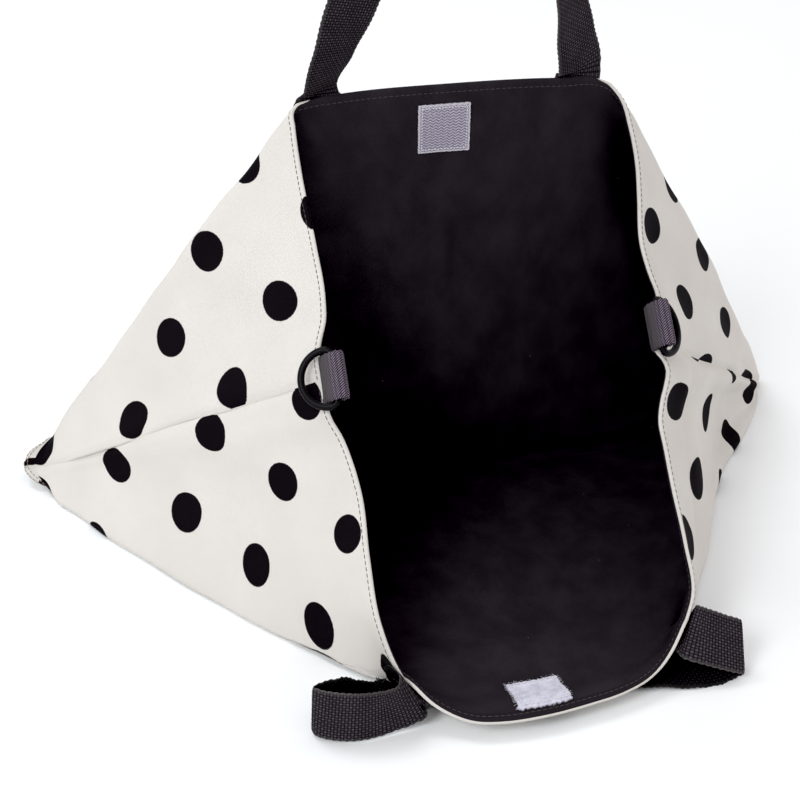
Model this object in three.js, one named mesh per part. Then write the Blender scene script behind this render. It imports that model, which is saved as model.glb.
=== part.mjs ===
// Open canvas tote bag, laid on its front panel with the mouth held open by the back handle.
// Millimetres, +Z up. X runs along the bag's base, Y from the mouth towards the base.
// The bag is a lined fabric tube: its rim is the mouth outline, and it flattens into a boxed base strip.
import * as THREE from 'three';

// ---------------------------------------------------------------- driving dimensions
const WEBBING_WIDTH = 25;         // handles and tabs
const WEBBING_THICK = 1.6;
const CANVAS_THICK = 1.2;         // outer fabric
const LINING_THICK = 0.8;
const LAYER_STEP = 1.6;           // middle of the outer fabric to middle of the lining
const SEAM_GAP = 0.25;            // half of the gap left between neighbouring fabric pieces
const RING_WIRE = 3.3;              // D-ring wire diameter
const RING_HALF_WIDTH = 12.8;       // middle of the bar ends to the ring's axis
const RING_DEPTH = 15.2;          // middle of the bar to the middle of the bow
const TAB_WIDTH = 21.4;           // side tabs, along the rim
// each ring: middle of its bar, held by the tab, and how far it has flopped back over the outer side
const RING_BARS = { left: [[-79.6, -129.4, 119], 152], right: [[74.3, -124.1, 123.7], 142] };
const PATCH_SIZE = 25;            // touch fastener patches
const PATCH_THICK = 1.3;
const SEWN_END = 36;              // length of handle sewn to the panel
const ORIGIN_SHIFT = [0.01, 115.01, 0];   // bag frame to part frame

// mouth plane: a point on it at seam height and its slope
const MOUTH_Y = -127, MOUTH_Z = 113, MOUTH_SLOPE = 45.1;
const ms = Math.sin(MOUTH_SLOPE * Math.PI / 180), mc = Math.cos(MOUTH_SLOPE * Math.PI / 180);
const rim = (x, s, d = 0) => [x, MOUTH_Y + s * mc - d * ms, MOUTH_Z + s * ms + d * mc];

// mouth outline in the mouth plane, from the left side seam up, over and round
const RIM_BACK_LEFT = [[-79, 0], [-81.5, 23], [-78, 42], [-77.5, 66], [-79, 100], [-78.5, 122], [-76.5, 129]];
const RIM_BACK = [[-76.5, 129], [-72.5, 132], [-55, 133.8], [-5, 135], [51, 134], [70, 132.5], [76, 129]];
const RIM_BACK_RIGHT = [[76, 129], [79.5, 122], [81, 100], [79, 74], [75.8, 50], [78.5, 24], [80, 0]];
const RIM_FRONT_RIGHT = [[80, 0], [77.2, -14], [72, -28], [69.3, -42], [69, -64], [70, -90], [69, -114], [64, -124]];
const RIM_FRONT = [[64, -124], [55, -138], [43, -148, 0.5], [28, -152.5, 1.5], [8, -154.6, 2.2], [-12, -155.4, 2.4], [-30, -155, 2.2], [-42, -153.4, 1.4], [-53, -149.5, 0.5], [-62, -141.5], [-69, -131]];
const RIM_FRONT_LEFT = [[-69, -131], [-75, -108], [-75.5, -78], [-74.5, -50], [-77.5, -30], [-80.5, -13], [-79, 0]];

// boxed base: its two long edges and the short cross seams that close its ends
const BASE_HALF = 198, BASE_TOP_HALF = 190;
const BASE_FRONT_Y = -22, BASE_BACK_Y = 8, BASE_BACK_Z = 14, BASE_BOW = 12;
const FLOOR = CANVAS_THICK / 2;
const baseFront = (u) => [u * BASE_HALF, BASE_FRONT_Y - BASE_BOW * (1 - u * u), FLOOR + 0.6 * u * u];
const baseBack = (u) => [u * BASE_TOP_HALF, BASE_BACK_Y - BASE_BOW * (1 - u * u), BASE_BACK_Z + 4 * (1 - u * u)];
function basePoint(u, w) {
  const a = baseFront(u), b = baseBack(u), h = 4 * w * (1 - w), c = Math.pow(Math.abs(u), 8);
  return [a[0] + (b[0] - a[0]) * w + Math.sign(u) * 8 * h * c,
    a[1] + (b[1] - a[1]) * w + 6 * h * (1 - c),
    Math.max(FLOOR, a[2] + (b[2] - a[2]) * w - 6 * h * (1 - c) - 1.5 * h * c)];
}

// ---------------------------------------------------------------- small helpers
const V = (p) => new THREE.Vector3(p[0], p[1], p[2]);
const mix = (a, b, t) => a.map((q, i) => q + (b[i] - q) * t);
const smooth = (a, b, x) => { const t = Math.min(1, Math.max(0, (x - a) / (b - a))); return t * t * (3 - 2 * t); };

const group = new THREE.Group();
const FABRIC = { color: 0xe9e4dd, roughness: 0.9, metalness: 0 };
const LINING = { color: 0x1b171b, roughness: 0.95, metalness: 0 };
const WEBBING = { color: 0x3a3338, roughness: 0.85, metalness: 0 };
const METAL = { color: 0x2a282a, roughness: 0.35, metalness: 0.6 };
const HOOK = { color: 0xa7a1b0, roughness: 0.6, metalness: 0 };
const LOOP = { color: 0xcfccdc, roughness: 0.95, metalness: 0 };

function add(name, geometry, look) {
  const mesh = new THREE.Mesh(geometry, new THREE.MeshStandardMaterial(look));
  mesh.name = name;
  group.add(mesh);
  return mesh;
}

// closed solid between two equal grids of points (outer side, inner side)
function slab(outer, inner) {
  const nu = outer.length, nv = outer[0].length, pos = [], idx = [];
  for (const g of [outer, inner]) for (const col of g) for (const p of col) pos.push(p.x, p.y, p.z);
  const o = (i, j) => i * nv + j, n = (i, j) => nu * nv + i * nv + j;
  const quad = (a, b, c, d) => idx.push(a, b, c, a, c, d);
  for (let i = 0; i < nu - 1; i++) for (let j = 0; j < nv - 1; j++) {
    quad(o(i, j), o(i + 1, j), o(i + 1, j + 1), o(i, j + 1));
    quad(n(i, j), n(i, j + 1), n(i + 1, j + 1), n(i + 1, j));
  }
  for (let i = 0; i < nu - 1; i++) {
    quad(o(i, 0), n(i, 0), n(i + 1, 0), o(i + 1, 0));
    quad(o(i, nv - 1), o(i + 1, nv - 1), n(i + 1, nv - 1), n(i, nv - 1));
  }
  for (let j = 0; j < nv - 1; j++) {
    quad(o(0, j), o(0, j + 1), n(0, j + 1), n(0, j));
    quad(o(nu - 1, j), n(nu - 1, j), n(nu - 1, j + 1), o(nu - 1, j + 1));
  }
  const g = new THREE.BufferGeometry();
  g.setAttribute('position', new THREE.Float32BufferAttribute(pos, 3));
  g.setIndex(idx);
  g.computeVertexNormals();
  return g;
}

// normals of a grid of points, pointing along d(column) x d(row)
function gridNormals(P, closed) {
  const nu = P.length, nv = P[0].length;
  const N = P.map((c) => c.map(() => new THREE.Vector3()));
  for (let i = 0; i < (closed ? nu : nu - 1); i++) for (let j = 0; j < nv - 1; j++) {
    const k = (i + 1) % nu;
    const a = P[i][j], b = P[k][j], c = P[k][j + 1], d = P[i][j + 1];
    const f = new THREE.Vector3().subVectors(c, a).cross(new THREE.Vector3().subVectors(d, b)).normalize();
    for (const [p, q] of [[i, j], [k, j], [k, j + 1], [i, j + 1]]) N[p][q].add(f);
  }
  N.forEach((c) => c.forEach((v) => v.normalize()));
  return N;
}

// ---------------------------------------------------------------- fabric tube
const ROWS = [0, 0.07, 0.17, 0.3, 0.5, 0.75, 0.9, 1];
const HALF_ROUND = 418;           // flat width: side seam to side seam along the rim
const PANEL_DEEP = 208;           // rim to the base edge along the fabric
const BOX_HALF = 18.5;            // half of the boxed base's depth
const PANELS = [
  ['back_side_left', RIM_BACK_LEFT, (t) => basePoint(-1, 0.5 + 0.5 * t)],
  ['back_panel', RIM_BACK, (t) => basePoint(-1 + 2 * t, 1)],
  ['back_side_right', RIM_BACK_RIGHT, (t) => basePoint(1, 1 - 0.5 * t)],
  ['front_side_right', RIM_FRONT_RIGHT, (t) => basePoint(1, 0.5 - 0.5 * t)],
  ['front_panel', RIM_FRONT, (t) => basePoint(1 - 2 * t, 0)],
  ['front_side_left', RIM_FRONT_LEFT, (t) => basePoint(-1, 0.5 * t)],
];
const columns = [], flat = [], span = {};
const FLAT_SPAN = {               // along the rim and along the base, from the left seam up and round, where each panel lies in the flat pattern
  back_side_left: [0, 132, 0, BOX_HALF], back_panel: [132, HALF_ROUND - 132, BOX_HALF, HALF_ROUND - BOX_HALF],
  back_side_right: [HALF_ROUND - 132, HALF_ROUND, HALF_ROUND - BOX_HALF, HALF_ROUND],
  front_side_right: [HALF_ROUND, HALF_ROUND + 132, HALF_ROUND, HALF_ROUND + BOX_HALF],
  front_panel: [HALF_ROUND + 132, 2 * HALF_ROUND - 132, HALF_ROUND + BOX_HALF, 2 * HALF_ROUND - BOX_HALF],
  front_side_left: [2 * HALF_ROUND - 132, 2 * HALF_ROUND, 2 * HALF_ROUND - BOX_HALF, 2 * HALF_ROUND],
};
for (const [name, outline, base] of PANELS) {
  const pts = outline.map((p) => rim(...p));
  const len = [0];
  for (let i = 1; i < pts.length; i++) len.push(len[i - 1] + V(pts[i]).distanceTo(V(pts[i - 1])));
  const start = columns.length;
  pts.forEach((p, i) => {
    if (i === pts.length - 1) return;
    const f = len[i] / len[len.length - 1], q = base(f), g = FLAT_SPAN[name];
    flat.push([g[0] + (g[1] - g[0]) * f, g[2] + (g[3] - g[2]) * f]);
    columns.push(ROWS.map((v) => {
      const m = mix(p, q, v), b = 4 * v * (1 - v);
      if (name === 'back_panel') m[1] += 7 * b;                        // back wall bellies out a little
      if (name === 'front_panel') m[2] = Math.max(FLOOR, m[2] - 5 * smooth(0.17, 0.36, v)); // settles on the floor
      return V(m);
    }));
  });
  span[name] = [start, columns.length];
}
const tubeN = gridNormals(columns, true);
const tubeAt = (i, j, off) => {
  const k = i % columns.length;
  return columns[k][j].clone().addScaledVector(tubeN[k][j], off);
};

function fabricPanel(name, centre, thick, footCut) {
  const [a, b] = span[name];
  const make = (off) => {
    const g = [];
    for (let i = a; i <= b; i++) g.push(ROWS.map((_, j) => tubeAt(i, j, off)));
    const cut = (edge, next) => edge.forEach((p, j) => p.addScaledVector(new THREE.Vector3().subVectors(next[j], p).normalize(), centre < 0 ? 5 * SEAM_GAP : SEAM_GAP));
    cut(g[0], g[1]);
    cut(g[g.length - 1], g[g.length - 2]);
    g.forEach((c) => { const n = c.length - 1; c[n].addScaledVector(new THREE.Vector3().subVectors(c[n - 1], c[n]).normalize(), footCut); });
    return g;
  };
  return slab(make(centre + thick / 2), make(centre - thick / 2));
}
for (const name of Object.keys(span)) {
  add(name, fabricPanel(name, 0, CANVAS_THICK, 0.9), FABRIC);
  const lining = name.replace('_panel', '_lining').replace('_side_', '_lining_');
  add(lining, fabricPanel(name, -LAYER_STEP, LINING_THICK, name.includes('_side_') ? 4.5 : 2.2), LINING);
}

// base strip
const BASE_U = [-1, -0.96, -0.85, -0.6, -0.3, 0, 0.3, 0.6, 0.85, 0.96, 1], BASE_W = [0, 0.2, 0.4, 0.6, 0.8, 1];
const baseGrid = BASE_U.map((u) => BASE_W.map((w) => V(basePoint(u, w))));
const baseN = gridNormals(baseGrid, false).map((c) => c.map((v) => v.negate()));
function basePiece(centre, thick, endCut, sideCut) {
  const make = (off) => {
    const g = baseGrid.map((c, i) => c.map((p, j) => p.clone().addScaledVector(baseN[i][j], off)));
    const cut = (p, q, d) => p.addScaledVector(new THREE.Vector3().subVectors(q, p).normalize(), d);
    const n = g.length - 1, m = BASE_W.length - 1;
    g[0].forEach((p, j) => cut(p, g[1][j], endCut));
    g[n].forEach((p, j) => cut(p, g[n - 1][j], endCut));
    g.forEach((c) => { cut(c[0], c[1], sideCut); cut(c[m], c[m - 1], sideCut); });
    return g.reverse();
  };
  return slab(make(centre + thick / 2), make(centre - thick / 2));
}
add('base_panel', basePiece(0, CANVAS_THICK, 1.4, 1.0), FABRIC);
add('base_lining', basePiece(-LAYER_STEP, LINING_THICK, 6, 1.6), LINING);

// ---------------------------------------------------------------- webbing
// A ribbon runs through stations, each with a middle point and the direction across its width.
function ribbon(stations, steps, width = WEBBING_WIDTH, thick = WEBBING_THICK, fine = true) {
  let c = stations.map((s) => V(s[0])), w = stations.map((s) => V(s[1]).normalize());
  if (fine) {
    const cc = new THREE.CatmullRomCurve3(c, false, 'centripetal');
    const n = stations.length - 1, pc = [], pw = [];
    for (let i = 0; i <= steps; i++) {
      const t = i / steps, f = Math.min(n - 1e-9, t * n), k = Math.floor(f), r = f - k, e = r * r * (3 - 2 * r);
      pc.push(cc.getPoint(t));
      pw.push(w[k].clone().multiplyScalar(1 - e).addScaledVector(w[k + 1], e).normalize());
    }
    c = pc; w = pw;
  }
  const out = [], inn = [];
  for (let i = 0; i < c.length; i++) {
    const t = new THREE.Vector3().subVectors(c[Math.min(i + 1, c.length - 1)], c[Math.max(i - 1, 0)]).normalize();
    const side = w[i].clone().addScaledVector(t, -w[i].dot(t)).normalize();
    const n = new THREE.Vector3().crossVectors(t, side);
    const edge = (s, q) => c[i].clone().addScaledVector(side, s * width / 2).addScaledVector(n, q * thick / 2);
    out.push([edge(-1, 1), edge(1, 1)]);
    inn.push([edge(-1, -1), edge(1, -1)]);
  }
  return slab(out, inn);
}

// back handle: sewn to the outer face of the back panel, rises to a point where it is held
const H_LEAN = -0.235, H_TOP = 214;
const backLeg = (side, h) => [side < 0 ? -64.5 + 0.262 * h : 63 - 0.285 * h, -34 + 6.5 + H_LEAN * h, 207 + h];
const turn = (deg) => [Math.cos(deg * Math.PI / 180), Math.sin(deg * Math.PI / 180), 0];
const backHandle = [
  [backLeg(-1, 4), turn(16)], [backLeg(-1, 22), turn(16)], [backLeg(-1, 48), turn(4)], [backLeg(-1, 90), turn(-22)],
  [backLeg(-1, 135), turn(-52)], [backLeg(-1, 175), turn(-78)], [backLeg(-1, 200), turn(-88)],
  [[-4, -34 + 6.5 + H_LEAN * H_TOP, 207 + H_TOP], turn(-90)],
  [backLeg(1, 200), turn(-92)], [backLeg(1, 175), turn(-100)], [backLeg(1, 135), turn(-113)], [backLeg(1, 90), turn(-130)],
  [backLeg(1, 48), turn(-144)], [backLeg(1, 22), turn(-156)], [backLeg(1, 4), turn(-170)],
];
add('back_handle', ribbon(backHandle, 56), WEBBING);

// a point of the fabric from its place in the flat pattern: distance along the rim, and down from it
function onFabric(along, down, off) {
  const v = down / PANEL_DEEP, n = columns.length, turnRound = 2 * HALF_ROUND;
  const across = (k) => (k < n ? flat[k][0] + (flat[k][1] - flat[k][0]) * v : turnRound + flat[0][0]);
  let j = 0;
  while (j < ROWS.length - 2 && ROWS[j + 1] < v) j++;
  const r = (v - ROWS[j]) / (ROWS[j + 1] - ROWS[j]);
  const at = (k) => tubeAt(k, j, off).lerp(tubeAt(k, j + 1, off), r);
  let k = 0;
  while (k < n - 1 && across(k + 1) < along) k++;
  return at(k).lerp(at(k + 1), (along - across(k)) / (across(k + 1) - across(k)));
}
// a piece sewn flat on the fabric, from its middle along the rim, its start below the rim, and its size
function sewn(name, middle, down, width, length, near, thick, look, nu = 9, nv = 6) {
  const grid = (off) => [...Array(nu).keys()].map((a) => [...Array(nv).keys()].map((b) => onFabric(middle + width * (a / (nu - 1) - 0.5), down + length * b / (nv - 1), off)));
  add(name, near < 0 ? slab(grid(near), grid(near - thick)) : slab(grid(near + thick), grid(near)), look);
}
const SEWN_NEAR = CANVAS_THICK / 2 + 0.9;
const BACK_HANDLE_AT = 62, FRONT_HANDLE_AT = [131, 138];   // handle ends: from the middle of the back; from the right and left seams on the front
sewn('back_handle_end_left', HALF_ROUND / 2 - BACK_HANDLE_AT, 2, WEBBING_WIDTH, SEWN_END, SEWN_NEAR, WEBBING_THICK, WEBBING);
sewn('back_handle_end_right', HALF_ROUND / 2 + BACK_HANDLE_AT, 2, WEBBING_WIDTH, SEWN_END, SEWN_NEAR, WEBBING_THICK, WEBBING);
sewn('front_handle_end_right', HALF_ROUND + FRONT_HANDLE_AT[0], 2, WEBBING_WIDTH, SEWN_END, SEWN_NEAR, WEBBING_THICK, WEBBING);
sewn('front_handle_end_left', 2 * HALF_ROUND - FRONT_HANDLE_AT[1], 2, WEBBING_WIDTH, SEWN_END, SEWN_NEAR, WEBBING_THICK, WEBBING);

// front handle: sewn under the front panel, its loop is caught under the lip and bulges out at both sides
const frontHandle = [
  [[-68.6, -229.8, 16.55], [0.55, -0.48, -0.68]],
  [[-70, -232.4, 14.75], [0.25, -0.2, -0.95]],
  [[-75, -233, 13.25], [0, 0, -1]],
  [[-85, -233.4, 13.15], [0, 0, -1]],
  [[-97, -231.8, 13.15], [0, 0, -1]],
  [[-105, -228, 13.15], [0, 0, -1]],
  [[-107.6, -223.5, 13.15], [0, 0, -1]],
  [[-104.5, -219.5, 13.15], [0, 0, -1]],
  [[-96.5, -217.5, 13.05], [0, -0.2, -0.98]],
  [[-87, -216, 8.35], [0, -0.8, -0.6]],
  [[-75, -214.5, 3.05], [0, -0.99, -0.14]],
  [[-56, -215.5, 1.25], [0, -1, 0]],
  [[-25, -217.5, 1.15], [0, -1, 0]],
  [[5, -217.5, 1.15], [0, -1, 0]],
  [[30, -217.5, 1.75], [0, -1, -0.02]],
  [[48, -218.5, 2.75], [0, -0.99, -0.13]],
  [[64, -219, 4.55], [0, -0.95, -0.26]],
  [[78, -219.5, 6.75], [0, -0.9, -0.42]],
  [[87, -222.5, 11.15], [0, -0.62, -0.78]],
  [[90.5, -224.5, 13.35], [0, -0.2, -0.98]],
  [[86, -223.5, 15.35], [-0.15, -0.3, -0.94]],
  [[76, -221, 19.65], [-0.35, -0.42, -0.83]],
  [[65.5, -219.8, 23.55], [-0.55, -0.56, -0.62]],
];
add('front_handle', ribbon(frontHandle, 110), WEBBING);

// ---------------------------------------------------------------- touch fastener patches, sewn to the lining
const PATCH_NEAR = -LAYER_STEP - LINING_THICK / 2 - 0.3;
sewn('hook_patch', HALF_ROUND / 2 - 3.3, 9, PATCH_SIZE, PATCH_SIZE, PATCH_NEAR, PATCH_THICK, HOOK, 3, 3);
sewn('loop_patch', 1.5 * HALF_ROUND + 8.5, 8, PATCH_SIZE, PATCH_SIZE, PATCH_NEAR, PATCH_THICK, LOOP, 4, 3);

// ---------------------------------------------------------------- side tabs and D-rings
for (const [side, panel] of [['left', 'back_side_left'], ['right', 'front_side_right']]) {
  const i = span[panel][0], last = ROWS.length - 1;
  const s = columns[i][0], far = columns[i][last];
  const along = new THREE.Vector3(0, mc, ms);                             // along the rim at the seam
  const out = new THREE.Vector3().subVectors(s, far).normalize();         // on past the rim, in line with the wall
  out.addScaledVector(along, -out.dot(along)).normalize();
  const face = new THREE.Vector3().crossVectors(along, out);              // across the webbing
  if ((side === 'left') !== (face.x < 0)) face.negate();                  // pointing out of the bag
  const bar = new THREE.Vector3(...RING_BARS[side][0]);
  const root = s.clone().addScaledVector(along, new THREE.Vector3().subVectors(bar, s).dot(along));
  const reach = bar.distanceTo(root);                                     // ring bar from the rim
  const lean = new THREE.Vector3().subVectors(bar, root).normalize();     // the tab leans from the rim to the bar
  const side_on = new THREE.Vector3().crossVectors(along, lean);
  const place = new THREE.Matrix4();
  // hairpin of webbing round the ring's bar, drawn in (lean, side_on) and extruded along the rim
  const r1 = RING_WIRE / 2 + 0.3, r2 = r1 + WEBBING_THICK, neck = reach - 3.4;
  const shape = new THREE.Shape();
  shape.moveTo(1.8, -1.75); shape.lineTo(neck, -1.85);
  for (let a = -125; a <= 125; a += 12.5) shape.lineTo(reach + r2 * Math.cos(a * Math.PI / 180), r2 * Math.sin(a * Math.PI / 180));
  shape.lineTo(neck, 1.85); shape.lineTo(1.8, 1.75); shape.closePath();
  const hole = new THREE.Path();
  hole.moveTo(neck + 0.1, 0);
  for (let a = 125; a >= -125; a -= 12.5) hole.lineTo(reach + r1 * Math.cos(a * Math.PI / 180), r1 * Math.sin(a * Math.PI / 180));
  hole.closePath();
  shape.holes.push(hole);
  const tab = new THREE.ExtrudeGeometry(shape, { depth: TAB_WIDTH, bevelEnabled: false, steps: 1 });
  tab.translate(0, 0, -TAB_WIDTH / 2);
  place.makeBasis(lean, side_on, along);
  place.setPosition(root);
  tab.applyMatrix4(place);
  add(side + '_tab', tab, WEBBING);

  // D-ring: a closed wire, straight in the tab and bowed beyond it
  const path = [];
  const corner = 3, h = RING_HALF_WIDTH;
  for (let q = -1; q <= 1; q += 0.5) path.push([0, q * (h - corner)]);
  for (const a of [30, 60, 90]) path.push([corner - corner * Math.cos(a * Math.PI / 180), h - corner + corner * Math.sin(a * Math.PI / 180)]);
  for (let a = 75; a >= -75; a -= 15) path.push([corner + (RING_DEPTH - corner) * Math.cos(a * Math.PI / 180), h * Math.sin(a * Math.PI / 180)]);
  for (const a of [90, 60, 30]) path.push([corner - corner * Math.cos(a * Math.PI / 180), -(h - corner) - corner * Math.sin(a * Math.PI / 180)]);
  const swing = RING_BARS[side][1] * Math.PI / 180;
  const u = out.clone().multiplyScalar(Math.cos(swing)).addScaledVector(face, Math.sin(swing));
  const across = new THREE.Vector3().crossVectors(along, u).normalize();
  const pts = path.map(([d, b]) => bar.clone().addScaledVector(u, d).addScaledVector(along, b));
  const n = pts.length, m = 8, pos = [], idx = [];
  pts.forEach((p, q) => {
    const t = new THREE.Vector3().subVectors(pts[(q + 1) % n], pts[(q + n - 1) % n]).normalize();
    const b = new THREE.Vector3().crossVectors(across, t);
    for (let c = 0; c < m; c++) {
      const a = 2 * Math.PI * (c + 0.5) / m;
      const v = p.clone().addScaledVector(b, Math.cos(a) * RING_WIRE / 2).addScaledVector(across, Math.sin(a) * RING_WIRE / 2);
      pos.push(v.x, v.y, v.z);
    }
  });
  for (let q = 0; q < n; q++) for (let c = 0; c < m; c++) {
    const a = q * m + c, b = q * m + (c + 1) % m, d = ((q + 1) % n) * m + c, e = ((q + 1) % n) * m + (c + 1) % m;
    idx.push(a, e, d, a, b, e);
  }
  const ring = new THREE.BufferGeometry();
  ring.setAttribute('position', new THREE.Float32BufferAttribute(pos, 3));
  ring.setIndex(idx);
  ring.computeVertexNormals();
  add(side + '_d_ring', ring, METAL);
}

group.position.set(...ORIGIN_SHIFT);
export default group;
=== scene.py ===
# Looks of an open canvas tote bag, lying on its front panel with its mouth towards the camera.
# Lengths are worked out in millimetres in the bag's own frame and written out in metres in the part's frame.
import math
import bpy
import numpy as np
from mathutils import Matrix, Vector


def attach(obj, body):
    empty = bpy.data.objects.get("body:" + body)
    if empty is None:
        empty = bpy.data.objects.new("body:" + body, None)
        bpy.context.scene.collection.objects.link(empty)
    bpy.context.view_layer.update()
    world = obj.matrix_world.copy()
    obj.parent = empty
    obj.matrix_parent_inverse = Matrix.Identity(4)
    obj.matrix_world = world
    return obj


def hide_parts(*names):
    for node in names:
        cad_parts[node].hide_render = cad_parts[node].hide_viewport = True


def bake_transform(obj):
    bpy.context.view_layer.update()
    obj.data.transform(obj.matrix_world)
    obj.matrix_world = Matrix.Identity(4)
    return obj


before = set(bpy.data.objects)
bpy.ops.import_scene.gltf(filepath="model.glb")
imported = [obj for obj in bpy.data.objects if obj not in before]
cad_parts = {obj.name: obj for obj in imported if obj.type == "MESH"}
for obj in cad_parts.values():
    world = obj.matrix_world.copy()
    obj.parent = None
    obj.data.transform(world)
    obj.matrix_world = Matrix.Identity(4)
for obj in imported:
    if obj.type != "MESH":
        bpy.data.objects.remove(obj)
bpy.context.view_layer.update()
SHIFT = np.array([0.01, 115.01, 0.0])
rng = np.random.default_rng(7)


def metres(p):
    return (np.asarray(p, float) + SHIFT) * 0.001


# ------------------------------------------------------------------ camera
def make_camera():
    eye = np.array([-252.037, -812.729, 562.226])
    yaw, pitch, roll = 0.2887, 0.57238, 0.04554
    fw = np.array([math.sin(yaw) * math.cos(pitch), math.cos(yaw) * math.cos(pitch), -math.sin(pitch)])
    rt = np.array([math.cos(yaw), -math.sin(yaw), 0.0])
    up = np.cross(rt, fw)
    r2 = math.cos(roll) * rt + math.sin(roll) * up
    u2 = -math.sin(roll) * rt + math.cos(roll) * up
    cam = bpy.data.objects.new("camera", bpy.data.cameras.new("camera"))
    m = Matrix.Identity(4)
    at = metres(eye)
    for k in range(3):
        m[k][0], m[k][1], m[k][2], m[k][3] = r2[k], u2[k], -fw[k], at[k]
    cam.matrix_world = m
    cam.data.sensor_width = 36.0
    cam.data.lens = 36.0 * 1900.0 / 800.0
    cam.data.clip_start, cam.data.clip_end = 0.05, 30.0
    bpy.context.scene.collection.objects.link(cam)
    bpy.context.scene.camera = cam


make_camera()

# ------------------------------------------------------------------ bag geometry, as the construction has it
MS, MC = math.sin(math.radians(45.1)), math.cos(math.radians(45.1))
HALF_ROUND, PANEL_DEEP, BOX_HALF, FOLD_AT = 418.0, 208.0, 18.5, 132.0
ROUND = 2 * HALF_ROUND
FLOOR = 0.6


def rim_point(x, s, d=0.0):
    return np.array([x, -127 + s * MC - d * MS, 113 + s * MS + d * MC])


RIM = [
    (0.0, FOLD_AT, [(-84, 3), (-84, 13), (-81.6, 21.5), (-78.4, 30), (-77.1, 40), (-77.5, 66), (-79, 100), (-78.7, 121), (-78, 129)]),
    (FOLD_AT, HALF_ROUND - FOLD_AT, [(-78, 129), (-75.7, 131.6), (-72, 132.5), (-55, 134.2), (-5, 135.3), (51, 134.1), (70.5, 132.6), (75, 130.3)]),
    (HALF_ROUND - FOLD_AT, HALF_ROUND, [(75, 130.3), (77.2, 127.3), (79.2, 123.5), (81.2, 108.3), (81, 89), (79, 74), (75.8, 50), (77.2, 36), (79, 26),
                                        (77.8, 17), (73.2, 8), (72, 4)]),
    (HALF_ROUND, HALF_ROUND + FOLD_AT, [(72, 4), (73.2, -0.5), (76.2, -5.5), (77, -9.5), (74.8, -17), (72, -23), (68.6, -34.5), (68.8, -44), (69, -64),
                                        (70, -90), (69, -114), (64, -124)]),
    (HALF_ROUND + FOLD_AT, ROUND - FOLD_AT, [(64, -124), (56, -137.3, -1.5), (42.2, -147.1, 1), (27.1, -152.1, 3.9), (9.6, -154.8, 5.9), (-12.4, -156.8, 7.9),
                                            (-30.8, -156.6, 7.7), (-41.9, -154.8, 6.6), (-51.4, -150.3, 3.5), (-61.3, -143.5, 1), (-69, -131)]),
    (ROUND - FOLD_AT, ROUND, [(-69, -131), (-75, -108), (-75.5, -78), (-74.5, -50), (-76.3, -34.9), (-79, -23.4), (-82.6, -14.4), (-83.7, -5.6), (-84, 3)]),
]
# the two lower folds, from the rim down on to the floor and back to the base corners
FOLD_LEFT = [(-69, -219.5, 20.2), (-70.8, -211, 18.5), (-72.6, -204.3, 14), (-75.4, -198.1, 9), (-78.8, -194.1, 6), (-83.4, -189.1, 2), (-100, -170, 1), (-122.4, -141.4, 1), (-143, -111, 1),
             (-173, -67, 1), (-192.6, -34, 1), (-198, -22, 1.2)]
FOLD_RIGHT = [(64, -214.5, 25.2), (67.5, -206, 17), (73, -196, 7.5), (80, -186, 2.5), (84.5, -179.5, 1.2), (98, -157, 1), (116, -124.5, 1), (128, -103, 1),
              (141, -80, 1), (165, -49, 1), (190, -18, 1.2)]


def smooth(a, b, x):
    t = np.clip((np.asarray(x, float) - a) / (b - a), 0, 1)
    return t * t * (3 - 2 * t)


def base_point(u, w):
    a = np.array([-4 + 194 * u, -22 - 12 * (1 - u * u) + 2 * (1 + u), FLOOR + 0.6 * u * u])
    b = np.array([3 + 193 * u, 8 - 12 * (1 - u * u), 14 + 4 * (1 - u * u)])
    w = w ** 1.2
    h, c = 4 * w * (1 - w), abs(u) ** 8
    e = (1 + u) * 190 / 6                                   # the strip puffs out beside its left cross seam
    puff = h * (0.7 + 0.65 * w) * e * math.exp(1 - e)
    p = a + (b - a) * w
    q = np.array([p[0] + (3 if u > 0 else -8) * h * c - 14 * puff, p[1] + 6 * h * (1 - c) - 3 * puff,
                  max(FLOOR, p[2] - 6 * h * (1 - c) - 1.5 * h * c + 7 * puff * (1.15 - e))])
    m = float(smooth(0.99, 0.66, abs(u)))                   # away from its ends the strip lies folded in two behind the back wall
    return q * (1 - m) + np.array([p[0], -47 - 2 * u + 4 * w + 16 * h, FLOOR + 8 * float(smooth(0.3, 0.8, w))]) * m


# rim as one smooth closed line over its flat length
knots_a, knots_p = [], []
for a0, a1, pts in RIM:
    q = np.array([rim_point(*p) for p in pts])
    ln = np.concatenate([[0], np.cumsum(np.linalg.norm(np.diff(q, axis=0), axis=1))])
    for k in range(len(q) - 1):
        knots_a.append(a0 + (a1 - a0) * ln[k] / ln[-1])
        knots_p.append(q[k])
knots_a, knots_p = np.array(knots_a), np.array(knots_p)


def rim_at(a):
    """Closed cubic line through the rim's points."""
    n = len(knots_a)
    a = a % ROUND
    k = int(np.searchsorted(knots_a, a, side="right") - 1)

    def knot(i):
        return knots_a[i % n] + ROUND * (i // n), knots_p[i % n]

    def slope(i):
        (x0, p0), (x1, p1), (x2, p2) = knot(i - 1), knot(i), knot(i + 1)
        d0, d1 = (p1 - p0) / (x1 - x0), (p2 - p1) / (x2 - x1)
        return (d0 * (x2 - x1) + d1 * (x1 - x0)) / (x2 - x0)

    (x0, p0), (x1, p1) = knot(k), knot(k + 1)
    h = x1 - x0
    t = (a - x0) / h
    m0, m1 = slope(k), slope(k + 1)
    return (2 * t**3 - 3 * t**2 + 1) * p0 + (t**3 - 2 * t**2 + t) * h * m0 + (-2 * t**3 + 3 * t**2) * p1 + (t**3 - t**2) * h * m1


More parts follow.
